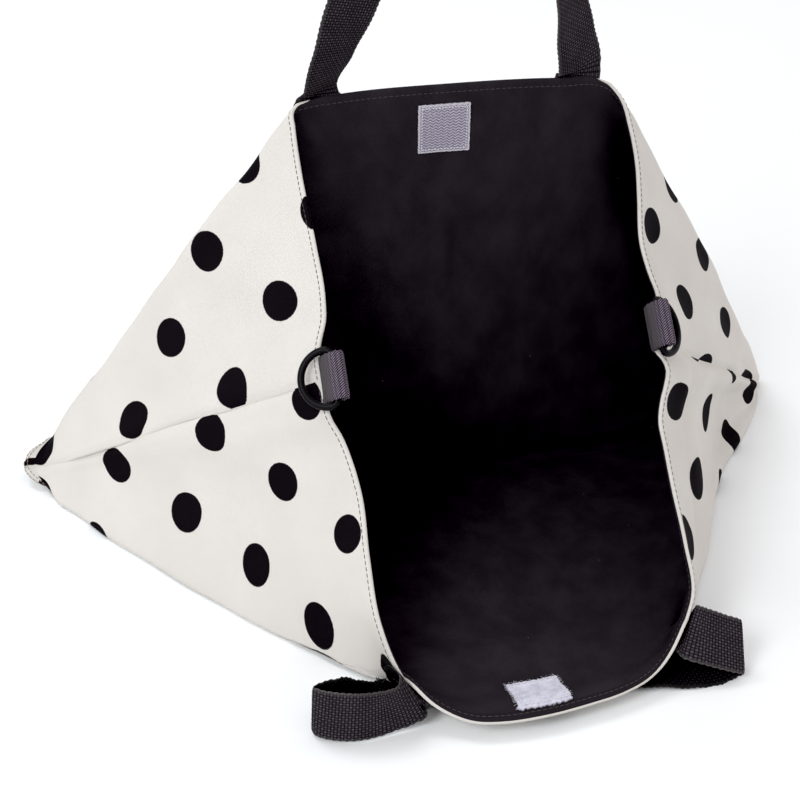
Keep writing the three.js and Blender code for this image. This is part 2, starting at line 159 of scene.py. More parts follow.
# columns round the rim: fine at the side seams and at the folds
seam_to_fold = np.concatenate([[0, 0.7, 1.5, 2.6, 4.2, 6.4, 9.2], np.linspace(12.4, 124.5, 36), [127.4, 129.8]]) / FOLD_AT
fold_to_seam = 1 - np.concatenate([seam_to_fold, [1.0]])[::-1][:-1]
half = np.concatenate([[0, 0.6, 1.3, 2.2, 3.4, 5.0, 7.0, 9.4], np.linspace(12.2, 77, 24)]) / 154.0
across = np.concatenate([half[:-1], [0.5], 1 - half[:-1][::-1]])[:-1]
NS, NB = len(seam_to_fold), len(across)
SPANS = [(0.0, FOLD_AT, seam_to_fold, lambda t: base_point(-1, 0.5 + 0.5 * t), 0, BOX_HALF),
         (FOLD_AT, HALF_ROUND - FOLD_AT, across, lambda t: base_point(-1 + 2 * t, 1), BOX_HALF, HALF_ROUND - BOX_HALF),
         (HALF_ROUND - FOLD_AT, HALF_ROUND, fold_to_seam, lambda t: base_point(1, 1 - 0.5 * t), HALF_ROUND - BOX_HALF, HALF_ROUND),
         (HALF_ROUND, HALF_ROUND + FOLD_AT, seam_to_fold, lambda t: base_point(1, 0.5 - 0.5 * t), HALF_ROUND, HALF_ROUND + BOX_HALF),
         (HALF_ROUND + FOLD_AT, ROUND - FOLD_AT, across, lambda t: base_point(1 - 2 * t, 0), HALF_ROUND + BOX_HALF, ROUND - BOX_HALF),
         (ROUND - FOLD_AT, ROUND, fold_to_seam, lambda t: base_point(-1, 0.5 * t), ROUND - BOX_HALF, ROUND)]
col_a, col_b, col_rim, col_base = [], [], [], []
for a0, a1, ts, base, b0, b1 in SPANS:
    for t in ts:
        a = a0 + (a1 - a0) * t
        col_a.append(a)
        col_b.append(b0 + (b1 - b0) * t)
        col_rim.append(rim_at(a))
        col_base.append(base(t))
col_a, col_b, col_rim, col_base = map(np.array, (col_a, col_b, col_rim, col_base))
NC = len(col_a)
o1, o2, o3, o4, o5 = NS, NS + NB, 2 * NS + NB, 3 * NS + NB, 3 * NS + 2 * NB

# rows from the rim down to the base edge
downs = np.concatenate([[0, 0.45, 1.0, 1.8, 3.0, 4.8, 7.4], np.linspace(10.4, 198.5, 62), [201.6, 204.4, 206.5, 208.0]])
NR = len(downs) - 1
V_ = downs / PANEL_DEEP


def bump(x, c, s):
    return np.exp(-(((x - c) / s) ** 2))


def shape_tube():
    v = V_[None, :, None]
    P = col_rim[:, None, :] * (1 - v) + col_base[:, None, :] * v
    along = col_a[:, None] * (1 - V_[None, :]) + col_b[:, None] * V_[None, :]
    down = np.broadcast_to(downs[None, :], along.shape)
    vv = np.broadcast_to(V_[None, :], along.shape)
    fold = lambda f, g: f * (1 - vv) + g * vv
    in_back = np.minimum(along - fold(FOLD_AT, BOX_HALF), fold(HALF_ROUND - FOLD_AT, HALF_ROUND - BOX_HALF) - along)
    in_front = np.minimum(along - fold(HALF_ROUND + FOLD_AT, HALF_ROUND + BOX_HALF), fold(ROUND - FOLD_AT, ROUND - BOX_HALF) - along)
    # lower folds: drop from the rim's corners to the floor, and take the cloth on both sides with them
    def off_line(points):
        q = np.array(points, float)
        s = np.concatenate([[0], np.cumsum(np.linalg.norm(np.diff(q, axis=0), axis=1))])
        line = np.stack([np.interp(V_, s / s[-1], q[:, k]) for k in range(3)], -1)
        return line - (q[0] * (1 - V_[:, None]) + q[-1] * V_[:, None]), line
    (fix_l, line_l), (fix_r, line_r) = off_line(FOLD_LEFT), off_line(FOLD_RIGHT)
    for c in range(o3, NC):
        if c < o4:
            P[c] += fix_r * ((col_a[c] - HALF_ROUND) / FOLD_AT) ** 1.6
        elif c >= o5:
            P[c] += fix_l * ((ROUND - col_a[c]) / FOLD_AT) ** 1.6
        else:
            g = (col_a[c] - HALF_ROUND - FOLD_AT) / (HALF_ROUND - 2 * FOLD_AT)
            P[c, :, :2] += (fix_r * (1 - g) + fix_l * g)[:, :2]
            z = FLOOR + (col_rim[c, 2] - FLOOR) * (1 - smooth(0, 0.13, V_))
            near = math.exp(-((min(g, 1 - g) * 154 / 16) ** 2))
            z = z + 2.4 * smooth(0, 0.06, V_) * smooth(0.36, 0.27, V_) * (1 - near)     # over the handle
            P[c, :, 2] = z * (1 - near) + (line_r if g < 0.5 else line_l)[:, 2] * near
    return P, along, down, vv, in_back, in_front


TUBE, ALONG, DOWN, VV, IN_BACK, IN_FRONT = shape_tube()

# whole skin as one surface: tube, then the base strip that closes it
NW = 2 * NS
w_s = np.concatenate([0.5 * fold_to_seam, 0.5 + 0.5 * seam_to_fold, [1.0]])
u_s = np.concatenate([-1 + 2 * across, [1.0]])
tube_id = np.arange(NC * (NR + 1)).reshape(NC, NR + 1)
base_id = -np.ones((NB + 1, NW + 1), int)
base_id[:, NW] = [tube_id[o1 + p, NR] for p in range(NB + 1)]
base_id[:, 0] = [tube_id[(o4 + NB - p) % NC, NR] for p in range(NB + 1)]
base_id[0, :] = [tube_id[(o5 + q) % NC, NR] for q in range(NW + 1)]
base_id[NB, :] = [tube_id[o4 - q, NR] for q in range(NW + 1)]
extra = []
for p in range(1, NB):
    for q in range(1, NW):
        base_id[p, q] = NC * (NR + 1) + len(extra)
        extra.append(base_point(u_s[p], w_s[q]))
SKIN = np.concatenate([TUBE.reshape(-1, 3), np.array(extra)])

ii, jj = np.meshgrid(np.arange(NC), np.arange(NR), indexing="ij")
i2 = (ii + 1) % NC
tube_quads = np.stack([tube_id[ii, jj], tube_id[i2, jj], tube_id[i2, jj + 1], tube_id[ii, jj + 1]], -1).reshape(-1, 4)
pp, qq = np.meshgrid(np.arange(NB), np.arange(NW), indexing="ij")
base_quads = np.stack([base_id[pp, qq], base_id[pp, qq + 1], base_id[pp + 1, qq + 1], base_id[pp + 1, qq]], -1).reshape(-1, 4)
QUADS = np.concatenate([tube_quads, base_quads])


def edges_of(quads):
    e = np.concatenate([quads[:, [0, 1]], quads[:, [1, 2]], quads[:, [2, 3]], quads[:, [3, 0]]])
    e = np.sort(e, axis=1)
    return np.unique(e, axis=0)


EDGES = edges_of(QUADS)


def relax(P, mask, rounds, share=0.5):
    deg = np.zeros(len(P))
    np.add.at(deg, EDGES[:, 0], 1)
    np.add.at(deg, EDGES[:, 1], 1)
    for _ in range(rounds):
        s = np.zeros_like(P)
        np.add.at(s, EDGES[:, 0], P[EDGES[:, 1]])
        np.add.at(s, EDGES[:, 1], P[EDGES[:, 0]])
        P = P + (s / deg[:, None] - P) * (mask * share)[:, None]
    return P


def normals_of(P, quads):
    a, b, c, d = (P[quads[:, k]] for k in range(4))
    f = np.cross(c - a, d - b)
    n = np.zeros_like(P)
    for k in range(4):
        np.add.at(n, quads[:, k], f)
    return n / np.maximum(np.linalg.norm(n, axis=1), 1e-9)[:, None]


# soften the four folds and the base edges; the rim keeps its line
near_fold = np.zeros_like(ALONG)
for f, g in ((FOLD_AT, BOX_HALF), (HALF_ROUND - FOLD_AT, HALF_ROUND - BOX_HALF), (HALF_ROUND + FOLD_AT, HALF_ROUND + BOX_HALF), (ROUND - FOLD_AT, ROUND - BOX_HALF)):
    near_fold = np.maximum(near_fold, np.exp(-((np.abs(ALONG - (f * (1 - VV) + g * VV)) / 9.0) ** 2)))
near_fold = np.maximum(near_fold, np.exp(-(((PANEL_DEEP - DOWN) / 7.0) ** 2)))
near_fold *= smooth(0.4, 10.0, DOWN)
ends = np.repeat(np.minimum(1 + u_s[1:NB], 1 - u_s[1:NB]) * 190, NW - 1)
mask = np.concatenate([near_fold.reshape(-1), 0.08 + 0.52 * smooth(8, 40, ends)])
SKIN = relax(SKIN, mask, 7)

# cloth that is not quite flat: long shallow swells, and the folds that the photo shows
N0 = normals_of(SKIN, QUADS)
swell = np.zeros((NC, NR + 1))
side_l = np.where(ALONG > HALF_ROUND * 1.5, ALONG - ROUND, ALONG)          # from the left seam, up is plus
side_r = HALF_ROUND - ALONG                                                # from the right seam, up is plus
edge = smooth(0, 30, DOWN) * smooth(0, 26, PANEL_DEEP - DOWN)
for amp, kx, ky, ph in ((1.0, 0.031, 0.024, 0.4), (0.7, -0.043, 0.036, 2.1), (0.5, 0.071, -0.052, 4.0), (0.28, 0.11, 0.083, 1.3), (0.2, -0.16, 0.12, 5.2)):
    swell += amp * np.sin(kx * ALONG + ky * DOWN + ph) * edge
# lower right side: upright folds beside the ring, below the seam
low_r = smooth(2, 16, -side_r) * smooth(118, 70, -side_r)
swell += low_r * (2.2 * bump(DOWN, 30, 11) - 2.6 * bump(DOWN, 52, 10) + 1.8 * bump(DOWN, 78, 14) - 1.2 * bump(DOWN, 110, 18)) * 0.8
t_low = -side_r / (FOLD_AT * (1 - VV) + BOX_HALF * VV)
swell -= smooth(0.05, 0.4, t_low) * smooth(1.0, 0.7, t_low) * (4 * bump(DOWN, 85, 34) + 8 * bump(DOWN, 157, 36))
# upper folds stand out round, not sharp
for f, g, k in ((FOLD_AT, BOX_HALF, 2.2), (HALF_ROUND - FOLD_AT, HALF_ROUND - BOX_HALF, 1.4)):
    d = ALONG - (f * (1 - VV) + g * VV)
    swell += (k * 4 * VV * (1 - VV) + 1.5 * smooth(0.02, 0.1, VV) * smooth(1, 0.93, VV)) * np.exp(-((d / 14) ** 2))
# back wall: an upright crease below the patch
swell += (1.6 * bump(ALONG, 211, 4.5) - 2.2 * bump(ALONG, 204, 3.8)) * smooth(58, 84, DOWN) * smooth(142, 112, DOWN)
# pull lines from the tabs into the sides
for c, s in ((side_l, 1), (side_r, 1)):
    swell += 0.8 * bump(c, 22 + 0.12 * DOWN, 9) * smooth(4, 30, DOWN) * smooth(150, 60, DOWN)
    swell -= 0.7 * bump(c, -24 - 0.1 * DOWN, 10) * smooth(4, 30, DOWN) * smooth(150, 60, DOWN)
# corners of the lip: the cloth puckers where the handle is sewn on
for f in (HALF_ROUND + FOLD_AT, ROUND - FOLD_AT):
    d = np.abs(ALONG - f)
    swell += 1.0 * np.exp(-((d / 20) ** 2)) * np.sin(0.33 * DOWN + 0.8) * smooth(6, 18, DOWN) * smooth(70, 40, DOWN)
swell = np.where(IN_FRONT > 6, np.minimum(swell, 0), swell)               # nothing is pushed into the floor
for f, g, k in ((HALF_ROUND + FOLD_AT, HALF_ROUND + BOX_HALF, 1.0), (ROUND - FOLD_AT, ROUND - BOX_HALF, 3.0)):
    d = ALONG - (f * (1 - VV) + g * VV)
    swell += k * np.exp(-((d / 10) ** 2)) * smooth(0.35, 0.8, VV) * smooth(1, 0.94, VV)
# seams pull in a little
seam_gap = np.minimum(np.abs(side_l), np.abs(side_r))
swell -= 0.55 * np.exp(-((seam_gap / 1.5) ** 2)) * smooth(1.5, 6, DOWN)
swell += 0.35 * np.exp(-(((seam_gap - 4.0) / 2.2) ** 2)) * smooth(3, 10, DOWN)
moved = np.zeros(len(SKIN))
moved[: NC * (NR + 1)] = swell.reshape(-1)
for p in range(NB + 1):
    for q in range(NW + 1):
        if 0 < p < NB and 0 < q < NW:
            end = min(u_s[p] + 1, 1 - u_s[p]) * 190
            g = 0.0
            g -= 0.8 * math.exp(-((end / 2.0) ** 2)) + 0.5 * math.exp(-(((w_s[q] - 0.5) * 37 / 1.3) ** 2))
            g += 0.9 * math.sin(end * 0.42) * math.exp(-end / 16.0) * math.sin(w_s[q] * 9 + u_s[p])
            moved[base_id[p, q]] = g
SKIN = SKIN + N0 * moved[:, None]
SKIN[:, 2] = np.maximum(SKIN[:, 2], FLOOR)
SKIN_N = normals_of(SKIN, QUADS)
GRID = SKIN[: NC * (NR + 1)].reshape(NC, NR + 1, 3)
GRID_N = SKIN_N[: NC * (NR + 1)].reshape(NC, NR + 1, 3)


def on_cloth(along, down, off):
    """A point of the cloth from its place in the flat pattern, off its middle surface, with its outward normal."""
    v = down / PANEL_DEEP
    j = int(np.clip(np.searchsorted(downs, down, side="right") - 1, 0, NR - 1))
    r = (down - downs[j]) / (downs[j + 1] - downs[j])
    line = np.append(col_a * (1 - v) + col_b * v, ROUND)
    along = along % ROUND
    k = int(np.clip(np.searchsorted(line, along, side="right") - 1, 0, NC - 1))
    f = (along - line[k]) / (line[k + 1] - line[k])
    k2 = (k + 1) % NC
    p = (GRID[k, j] * (1 - r) + GRID[k, j + 1] * r) * (1 - f) + (GRID[k2, j] * (1 - r) + GRID[k2, j + 1] * r) * f
    n = (GRID_N[k, j] * (1 - r) + GRID_N[k, j + 1] * r) * (1 - f) + (GRID_N[k2, j] * (1 - r) + GRID_N[k2, j + 1] * r) * f
    n = n / np.linalg.norm(n)
    return p + n * off, n


def follow_mouth(obj):
    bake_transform(obj)


# ------------------------------------------------------------------ mesh helpers
def make_mesh(name, P, faces, uv=None, material=None, flip=False):
    """P in millimetres in the bag's frame; uv is one pair for each face corner, in face order."""
    me = bpy.data.meshes.new(name)
    faces = [tuple(f[::-1]) for f in faces] if flip else [tuple(f) for f in faces]
    me.from_pydata([tuple(x) for x in metres(P)], [], faces)
    if uv is not None:
        uv = np.asarray(uv, np.float32).reshape(-1, 2)
        if flip:
            out, k = [], 0
            for f in faces:
                out.append(uv[k : k + len(f)][::-1])
                k += len(f)
            uv = np.concatenate(out)
        layer = me.uv_layers.new(name="flat")
        layer.data.foreach_set("uv", uv.ravel())
    me.polygons.foreach_set("use_smooth", np.ones(len(me.polygons), bool))
    me.update()
    ob = bpy.data.objects.new(name, me)
    bpy.context.scene.collection.objects.link(ob)
    if material:
        me.materials.append(material)
    return ob


class Bits:
    """Many small closed pieces gathered into one mesh."""

    def __init__(self):
        self.p, self.f, self.n = [], [], 0

    def add(self, P, F):
        self.p.append(np.asarray(P, float))
        self.f += [tuple(int(k) + self.n for k in q) for q in F]
        self.n += len(P)

    def points(self):
        return np.concatenate(self.p)

    def make(self, name, material):
        return make_mesh(name, self.points(), self.f, material=material)


def stitch(bits, A, B, up, radius, rise=0.25, sides=6, rings=6):
    """One stitch of thread: a short rounded cord that dips into the cloth at both ends."""
    A, B, up = map(np.asarray, (A, B, up))
    d = B - A
    L = np.linalg.norm(d)
    d = d / L
    up = up - d * (up @ d)
    up = up / np.linalg.norm(up)
    s = np.cross(d, up)
    P, F = [], []
    for k in range(rings):
        t = k / (rings - 1)
        c = A + d * L * t + up * (rise * math.sin(math.pi * t) * radius * 2 - radius * 0.35)
        r = radius * (0.5 + 0.5 * math.sin(math.pi * (0.12 + 0.76 * t)))
        for m in range(sides):
            g = 2 * math.pi * m / sides
            P.append(c + (s * math.cos(g) + up * math.sin(g)) * r)
    for k in range(rings - 1):
        for m in range(sides):
            n = (m + 1) % sides
            F.append((k * sides + m, k * sides + n, (k + 1) * sides + n, (k + 1) * sides + m))
    F.append(tuple(range(sides))[::-1])
    F.append(tuple((rings - 1) * sides + m for m in range(sides)))
    bits.add(P, F)


# ------------------------------------------------------------------ materials
def new_material(name):
    m = bpy.data.materials.new(name)
    m.use_nodes = True
    t = m.node_tree
    return m, t, t.nodes["Principled BSDF"]


class Graph:
    """Short names for wiring shader nodes."""

    def __init__(self, tree):
        self.t = tree

    def node(self, kind, **props):
        n = self.t.nodes.new(kind)
        for k, v in props.items():
            setattr(n, k, v)
        return n

    def put(self, sock, value):
        if isinstance(value, bpy.types.NodeSocket):
            self.t.links.new(value, sock)
        else:
            sock.default_value = value

    def math(self, op, a, b=None, c=None, clamp=False):
        n = self.node("ShaderNodeMath", operation=op, use_clamp=clamp)
        for k, v in enumerate((a, b, c)):
            if v is not None:
                self.put(n.inputs[k], v)
        return n.outputs[0]

    def mix(self, f, a, b):
        n = self.node("ShaderNodeMix", data_type="RGBA")
        self.put(n.inputs[0], f)
        self.put(n.inputs[6], a)
        self.put(n.inputs[7], b)
        return n.outputs[2]

    def range(self, x, a, b, c=0.0, d=1.0, kind="SMOOTHSTEP"):
        n = self.node("ShaderNodeMapRange", interpolation_type=kind)
        for k, v in enumerate((x, a, b, c, d)):
            self.put(n.inputs[k], v)
        return n.outputs[0]

    def noise(self, vec, scale, detail=2.0, rough=0.5):
        n = self.node("ShaderNodeTexNoise")
        if vec is not None:
            self.put(n.inputs["Vector"], vec)
        n.inputs["Scale"].default_value = scale
        n.inputs["Detail"].default_value = detail
        n.inputs["Roughness"].default_value = rough
        return n.outputs["Fac"]

    def bump(self, height, strength, distance):
        n = self.node("ShaderNodeBump")
        self.put(n.inputs["Height"], height)
        n.inputs["Strength"].default_value = strength
        n.inputs["Distance"].default_value = distance
        return n.outputs[0]

    def uv(self):
        n = self.node("ShaderNodeUVMap", uv_map="flat")
        s = self.node("ShaderNodeSeparateXYZ")
        self.t.links.new(n.outputs[0], s.inputs[0])
        return n.outputs[0], s.outputs[0], s.outputs[1]


LATTICE = 36.0           # dot spacing along the cloth, each way; dots sit on every other crossing
DOT_RADIUS = 10.25
CELL = LATTICE * math.sqrt(2)


def canvas_material():
    m, t, b = new_material("cream_canvas_with_dots")
    g = Graph(t)
    uv, s, q = g.uv()
    wob = g.math("MULTIPLY", g.math("SUBTRACT", g.noise(uv, 46.0, 2.0), 0.5), 0.011)
    ds = g.math("SUBTRACT", g.math("FRACT", g.math("ADD", s, 0.5)), 0.5)
    dq = g.math("SUBTRACT", g.math("FRACT", g.math("ADD", q, 0.5)), 0.5)
    r = g.math("SQRT", g.math("ADD", g.math("MULTIPLY", ds, ds), g.math("MULTIPLY", dq, dq)))
    r = g.math("ADD", r, wob)
    R = DOT_RADIUS / CELL
    dot = g.range(r, R + 0.0045, R - 0.0045)
    # plain weave: threads run along and across the panel, at half right angles to the dot lattice
    k = CELL / math.sqrt(2) / 0.62 * math.pi
    wx = g.math("SINE", g.math("MULTIPLY", g.math("ADD", s, q), k))
    wy = g.math("SINE", g.math("MULTIPLY", g.math("SUBTRACT", s, q), k))
    weave = g.math("MULTIPLY", wx, wy)
    slub = g.noise(uv, 70.0, 3.0, 0.65)
    cloud = g.noise(uv, 1.1, 3.0, 0.55)
    tone = g.math("ADD", g.math("MULTIPLY", cloud, 0.6), g.math("MULTIPLY", slub, 0.4))
    cream = g.mix(g.range(tone, 0.3, 0.72), (0.66, 0.627, 0.591, 1), (0.72, 0.692, 0.660, 1))
    cream = g.mix(g.range(weave, -1, 1, 0.0, 0.16), cream, (0.54, 0.51, 0.47, 1))
    ink = g.mix(slub, (0.0064, 0.0050, 0.0066, 1), (0.0096, 0.0077, 0.0098, 1))
    g.put(b.inputs["Base Color"], g.mix(dot, cream, ink))
    g.put(b.inputs["Roughness"], g.math("SUBTRACT", 0.93, g.math("MULTIPLY", dot, 0.12)))
    b.inputs["Specular IOR Level"].default_value = 0.06
    h = g.math("ADD", g.math("MULTIPLY", weave, 0.5), g.math("MULTIPLY", slub, 0.8))
    g.put(b.inputs["Normal"], g.bump(h, 0.32, 0.00018))
    return m


def lining_material():
    m, t, b = new_material("black_woven_lining")
    g = Graph(t)
    uv, s, q = g.uv()
    k = CELL / math.sqrt(2) / 0.75 * math.pi
    tw = g.math("SINE", g.math("MULTIPLY", s, k * 2))
    fuzz = g.noise(uv, 95.0, 4.0, 0.7)
    cloud = g.noise(uv, 2.6, 4.0, 0.6)
    base = g.mix(g.range(cloud, 0.3, 0.75), (0.0205, 0.0172, 0.0209, 1), (0.030, 0.0252, 0.0306, 1))
    base = g.mix(g.range(fuzz, 0.45, 0.8, 0.0, 0.55), base, (0.058, 0.049, 0.058, 1))
    v = g.node("ShaderNodeTexVoronoi")
    g.put(v.inputs["Vector"], uv)
    v.inputs["Scale"].default_value = 5.5
    v.inputs["Randomness"].default_value = 1.0
    near = g.range(v.outputs["Distance"], 0.034, 0.018)
    some = g.range(g.noise(uv, 9.0, 0.0), 0.60, 0.66)
    lint = g.math("MULTIPLY", near, some)
    g.put(b.inputs["Base Color"], g.mix(lint, base, (0.30, 0.28, 0.30, 1)))
    b.inputs["Roughness"].default_value = 0.9
    b.inputs["Specular IOR Level"].default_value = 0.05
    h = g.math("ADD", g.math("MULTIPLY", tw, 0.35), fuzz)
    g.put(b.inputs["Normal"], g.bump(h, 0.4, 0.0002))
    return m


WARP, WEFT = 1.3, 1.42       # thread pitch of the webbing, across and along


def webbing_material(name, low, high, edge):
    m, t, b = new_material(name)
    g = Graph(t)
    uv, u, v = g.uv()                       # tens of millimetres: along, across; the reverse of the band is ten further across, where it is painted in shade
    reverse_in_painted_shade = g.math("GREATER_THAN", v, 5.0)
    v = g.math("SUBTRACT", v, g.math("MULTIPLY", reverse_in_painted_shade, 10.0))
    wx = g.math("SINE", g.math("MULTIPLY", v, 10 * math.pi / WARP))
    wy = g.math("SINE", g.math("MULTIPLY", u, 10 * math.pi / WEFT))
    check = g.math("MULTIPLY", wx, wy)
    crown = g.math("ABSOLUTE", check)
    fib = g.noise(uv, 26.0, 4.0, 0.7)
    big = g.noise(uv, 1.3, 2.0)
    # painted highlight and shade: thread crowns lighter, the gaps between threads darker, over random fibre and patch
    # tone
    lit = g.math("MULTIPLY", g.range(crown, 0.1, 0.85), g.range(check, -1.0, 0.7, 0.45, 1.0))
    lit = g.math("MULTIPLY", lit, g.range(fib, 0.25, 0.75, 0.55, 1.25))
    lit = g.math("MULTIPLY", lit, g.range(big, 0.3, 0.7, 0.8, 1.15))
    col = g.mix(lit, low, high)
    rim = g.range(g.math("ABSOLUTE", v), 1.08, 1.27)
    col = g.mix(g.math("MULTIPLY", rim, 0.6), col, edge)
    # painted shade: the reverse face, inside the front handle's loops, is mixed most of the way to near-black
    g.put(b.inputs["Base Color"], g.mix(g.math("MULTIPLY", reverse_in_painted_shade, 0.78), col, (0.003, 0.003, 0.003, 1)))
    b.inputs["Roughness"].default_value = 0.86
    b.inputs["Specular IOR Level"].default_value = 0.12
    g.put(b.inputs["Normal"], g.bump(g.math("ADD", crown, g.math("MULTIPLY", fib, 0.7)), 0.5, 0.00035))
    return m


def tab_material():
    m, t, b = new_material("tab_webbing")
    g = Graph(t)
    uv, u, v = g.uv()                       # tens of millimetres: from the crest, across
    a = g.math("ABSOLUTE", u)
    rib = g.math("SINE", g.math("MULTIPLY", g.math("ADD", v, g.math("MULTIPLY", a, 0.9)), 2 * math.pi * 10 / 1.12))
    cut = g.math("SINE", g.math("MULTIPLY", u, 2 * math.pi * 10 / 2.1))
    fib = g.noise(uv, 30.0, 4.0, 0.7)
    lit = g.math("MULTIPLY", g.range(rib, -0.6, 0.8), g.range(fib, 0.25, 0.72, 0.35, 1.3))
    lit = g.math("MULTIPLY", lit, g.range(cut, -1.0, 0.5, 0.55, 1.0))
    col = g.mix(lit, (0.013, 0.009, 0.014, 1), (0.29, 0.235, 0.307, 1))
    flat = g.range(a, 0.52, 0.80)
    g.put(b.inputs["Base Color"], g.mix(g.math("MULTIPLY", flat, 0.85), col, g.mix(fib, (0.045, 0.038, 0.042, 1), (0.12, 0.108, 0.112, 1))))
    b.inputs["Roughness"].default_value = 0.8
    b.inputs["Specular IOR Level"].default_value = 0.2
    g.put(b.inputs["Normal"], g.bump(g.math("ADD", rib, g.math("MULTIPLY", fib, 0.8)), 0.5, 0.0003))
    return m


def thread_material(name, colour, dark):
    m, t, b = new_material(name)
    g = Graph(t)
    c = g.node("ShaderNodeTexCoord")
    f = g.noise(c.outputs["Object"], 2600.0, 2.0)
    g.put(b.inputs["Base Color"], g.mix(f, dark, colour))
    b.inputs["Roughness"].default_value = 0.7
    g.put(b.inputs["Normal"], g.bump(f, 0.35, 0.0001))
    return m


def metal_material():
    m, t, b = new_material("black_satin_ring")
    g = Graph(t)
    c = g.node("ShaderNodeTexCoord")
    f = g.noise(c.outputs["Object"], 420.0, 4.0, 0.6)
    wear = g.range(g.noise(c.outputs["Object"], 130.0, 3.0, 0.7), 0.60, 0.78)
    g.put(b.inputs["Base Color"], g.mix(wear, (0.0085, 0.0075, 0.0088, 1), (0.024, 0.021, 0.0235, 1)))
    g.put(b.inputs["Roughness"], g.range(f, 0.2, 0.8, 0.30, 0.46, "LINEAR"))
    b.inputs["Specular IOR Level"].default_value = 0.1
    g.put(b.inputs["Normal"], g.bump(f, 0.12, 0.0001))
    return m


def hook_material():
    m, t, b = new_material("hook_tape")
    g = Graph(t)
    uv, u, v = g.uv()                       # millimetres / 25
    zig = g.math("ABSOLUTE", g.math("SUBTRACT", g.math("FRACT", g.math("MULTIPLY", u, 9.0)), 0.5))
    row = g.math("SINE", g.math("MULTIPLY", g.math("ADD", v, g.math("MULTIPLY", zig, 0.085)), 2 * math.pi * 17))
    f = g.noise(uv, 60.0, 3.0, 0.7)
    k = g.math("MULTIPLY", g.range(row, -0.7, 0.8), g.range(f, 0.2, 0.7, 0.6, 1.1))
    col = g.mix(k, (0.225, 0.20, 0.26, 1), (0.53, 0.49, 0.60, 1))
    eu = g.math("ABSOLUTE", g.math("SUBTRACT", u, 0.5))
    ev = g.math("ABSOLUTE", g.math("SUBTRACT", v, 0.5))
    edge = g.range(g.math("MAXIMUM", eu, ev), 0.455, 0.475)
    g.put(b.inputs["Base Color"], g.mix(g.math("MULTIPLY", edge, 0.75), col, (0.66, 0.63, 0.69, 1)))
    b.inputs["Roughness"].default_value = 0.52
    b.inputs["Specular IOR Level"].default_value = 0.4
    g.put(b.inputs["Normal"], g.bump(g.math("ADD", row, f), 0.4, 0.0002))
    return m


def loop_material():
    m, t, b = new_material("loop_tape")
    g = Graph(t)
    uv, u, v = g.uv()
    f = g.noise(uv, 34.0, 5.0, 0.75)
    c = g.noise(uv, 5.0, 3.0)
    k = g.math("MULTIPLY", f, g.range(c, 0.3, 0.7, 0.75, 1.2))
    g.put(b.inputs["Base Color"], g.mix(g.range(k, 0.2, 0.7), (0.46, 0.45, 0.56, 1), (0.74, 0.73, 0.83, 1)))
    b.inputs["Roughness"].default_value = 0.9
    b.inputs["Sheen Weight"].default_value = 0.35
    b.inputs["Sheen Roughness"].default_value = 0.4
    g.put(b.inputs["Normal"], g.bump(f, 0.6, 0.0004))
    return m


CANVAS, LINING = canvas_material(), lining_material()
WEB = webbing_material("charcoal_webbing", (0.010, 0.0088, 0.010, 1), (0.098, 0.082, 0.098, 1), (0.13, 0.12, 0.115, 1))
TAB = tab_material()
THREAD_DARK = thread_material("dark_thread", (0.10, 0.085, 0.082, 1), (0.035, 0.03, 0.03, 1))
THREAD_GREY = thread_material("grey_thread", (0.085, 0.075, 0.080, 1), (0.03, 0.026, 0.028, 1))
THREAD_TAN = thread_material("tan_thread", (0.42, 0.33, 0.27, 1), (0.22, 0.17, 0.14, 1))
THREAD_WHITE = thread_material("white_thread", (0.82, 0.80, 0.84, 1), (0.55, 0.53, 0.58, 1))
THREAD_WEB = thread_material("charcoal_thread", (0.05, 0.042, 0.047, 1), (0.012, 0.010, 0.011, 1))
METAL, HOOK, LOOP = metal_material(), hook_material(), loop_material()


# ------------------------------------------------------------------ outer bag and lining
def print_map(marks):
    """Smooth map from a place on the cloth (down, along) to the printed lattice (row, column), given where some dots lie."""
    m = np.array(marks, float)
    x, y, n = m[:, :2] / 100, m[:, 2:], len(m)
    r = ((x[:, None] - x[None]) ** 2).sum(-1)
    one = np.c_[np.ones(n), x]
    A = np.block([[r * np.log(r + 1e-12) + 0.01 * np.eye(n), one], [one.T, np.zeros((3, 3))]])
    c = np.linalg.solve(A, np.r_[y, np.zeros((3, 2))])

    def at(down, along):
        q = np.stack([np.asarray(down, float), np.asarray(along, float)], -1) / 100
        d = ((q[..., None, :] - x) ** 2).sum(-1)
        return (d * np.log(d + 1e-12)) @ c[:n] + c[n] + q @ c[n + 1 :]

    return at


# where dots of the print lie on the four side facets: down from the rim, along from the left seam, row, column
PRINT = {
    (True, 0): print_map([(26.2, 44.7, 0, 0), (68.2, 81.1, 1, 1), (102.8, 46.2, 2, 0), (56.9, 9.1, 1, -1), (132.4, 10.5, 3, -1)]),
    (True, 1): print_map([(18.3, 356.5, 0, 10), (54, 391, 1, 11), (105.7, 357.6, 2, 10), (65.9, 327.5, 1, 9)]),
    (False, 0): print_map([(43.3, 36.3, 0, 0), (108.1, 38.2, 2, 0), (67.4, 65.5, 1, -1), (11.8, 67.1, -1, -1), (42.2, 93.4, 0, -2),
                           (75.1, 8.1, 1, 1), (150, 9.6, 3, 1), (172.6, 44, 4, 0), (10.7, 6.5, -1, 1), (78, 148, 1, -3), (10, 130, -1, -3)]),
    (False, 1): print_map([(19.6, 390.5, -1, -11), (112.9, 393, 1, -11), (160.7, 382, 3, -11), (69.3, 361.1, 0, -10), (14.9, 329.9, -1, -9)]),
}


def lattice_uv(half_back, down, along):
    a = along if half_back else ROUND - along
    w = smooth(130, 290, a)[..., None]
    pq = PRINT[half_back, 0](down, a) * (1 - w) + PRINT[half_back, 1](down, a) * w
    return np.stack([(pq[..., 0] + pq[..., 1]) / 2, (pq[..., 0] - pq[..., 1]) / 2], -1)


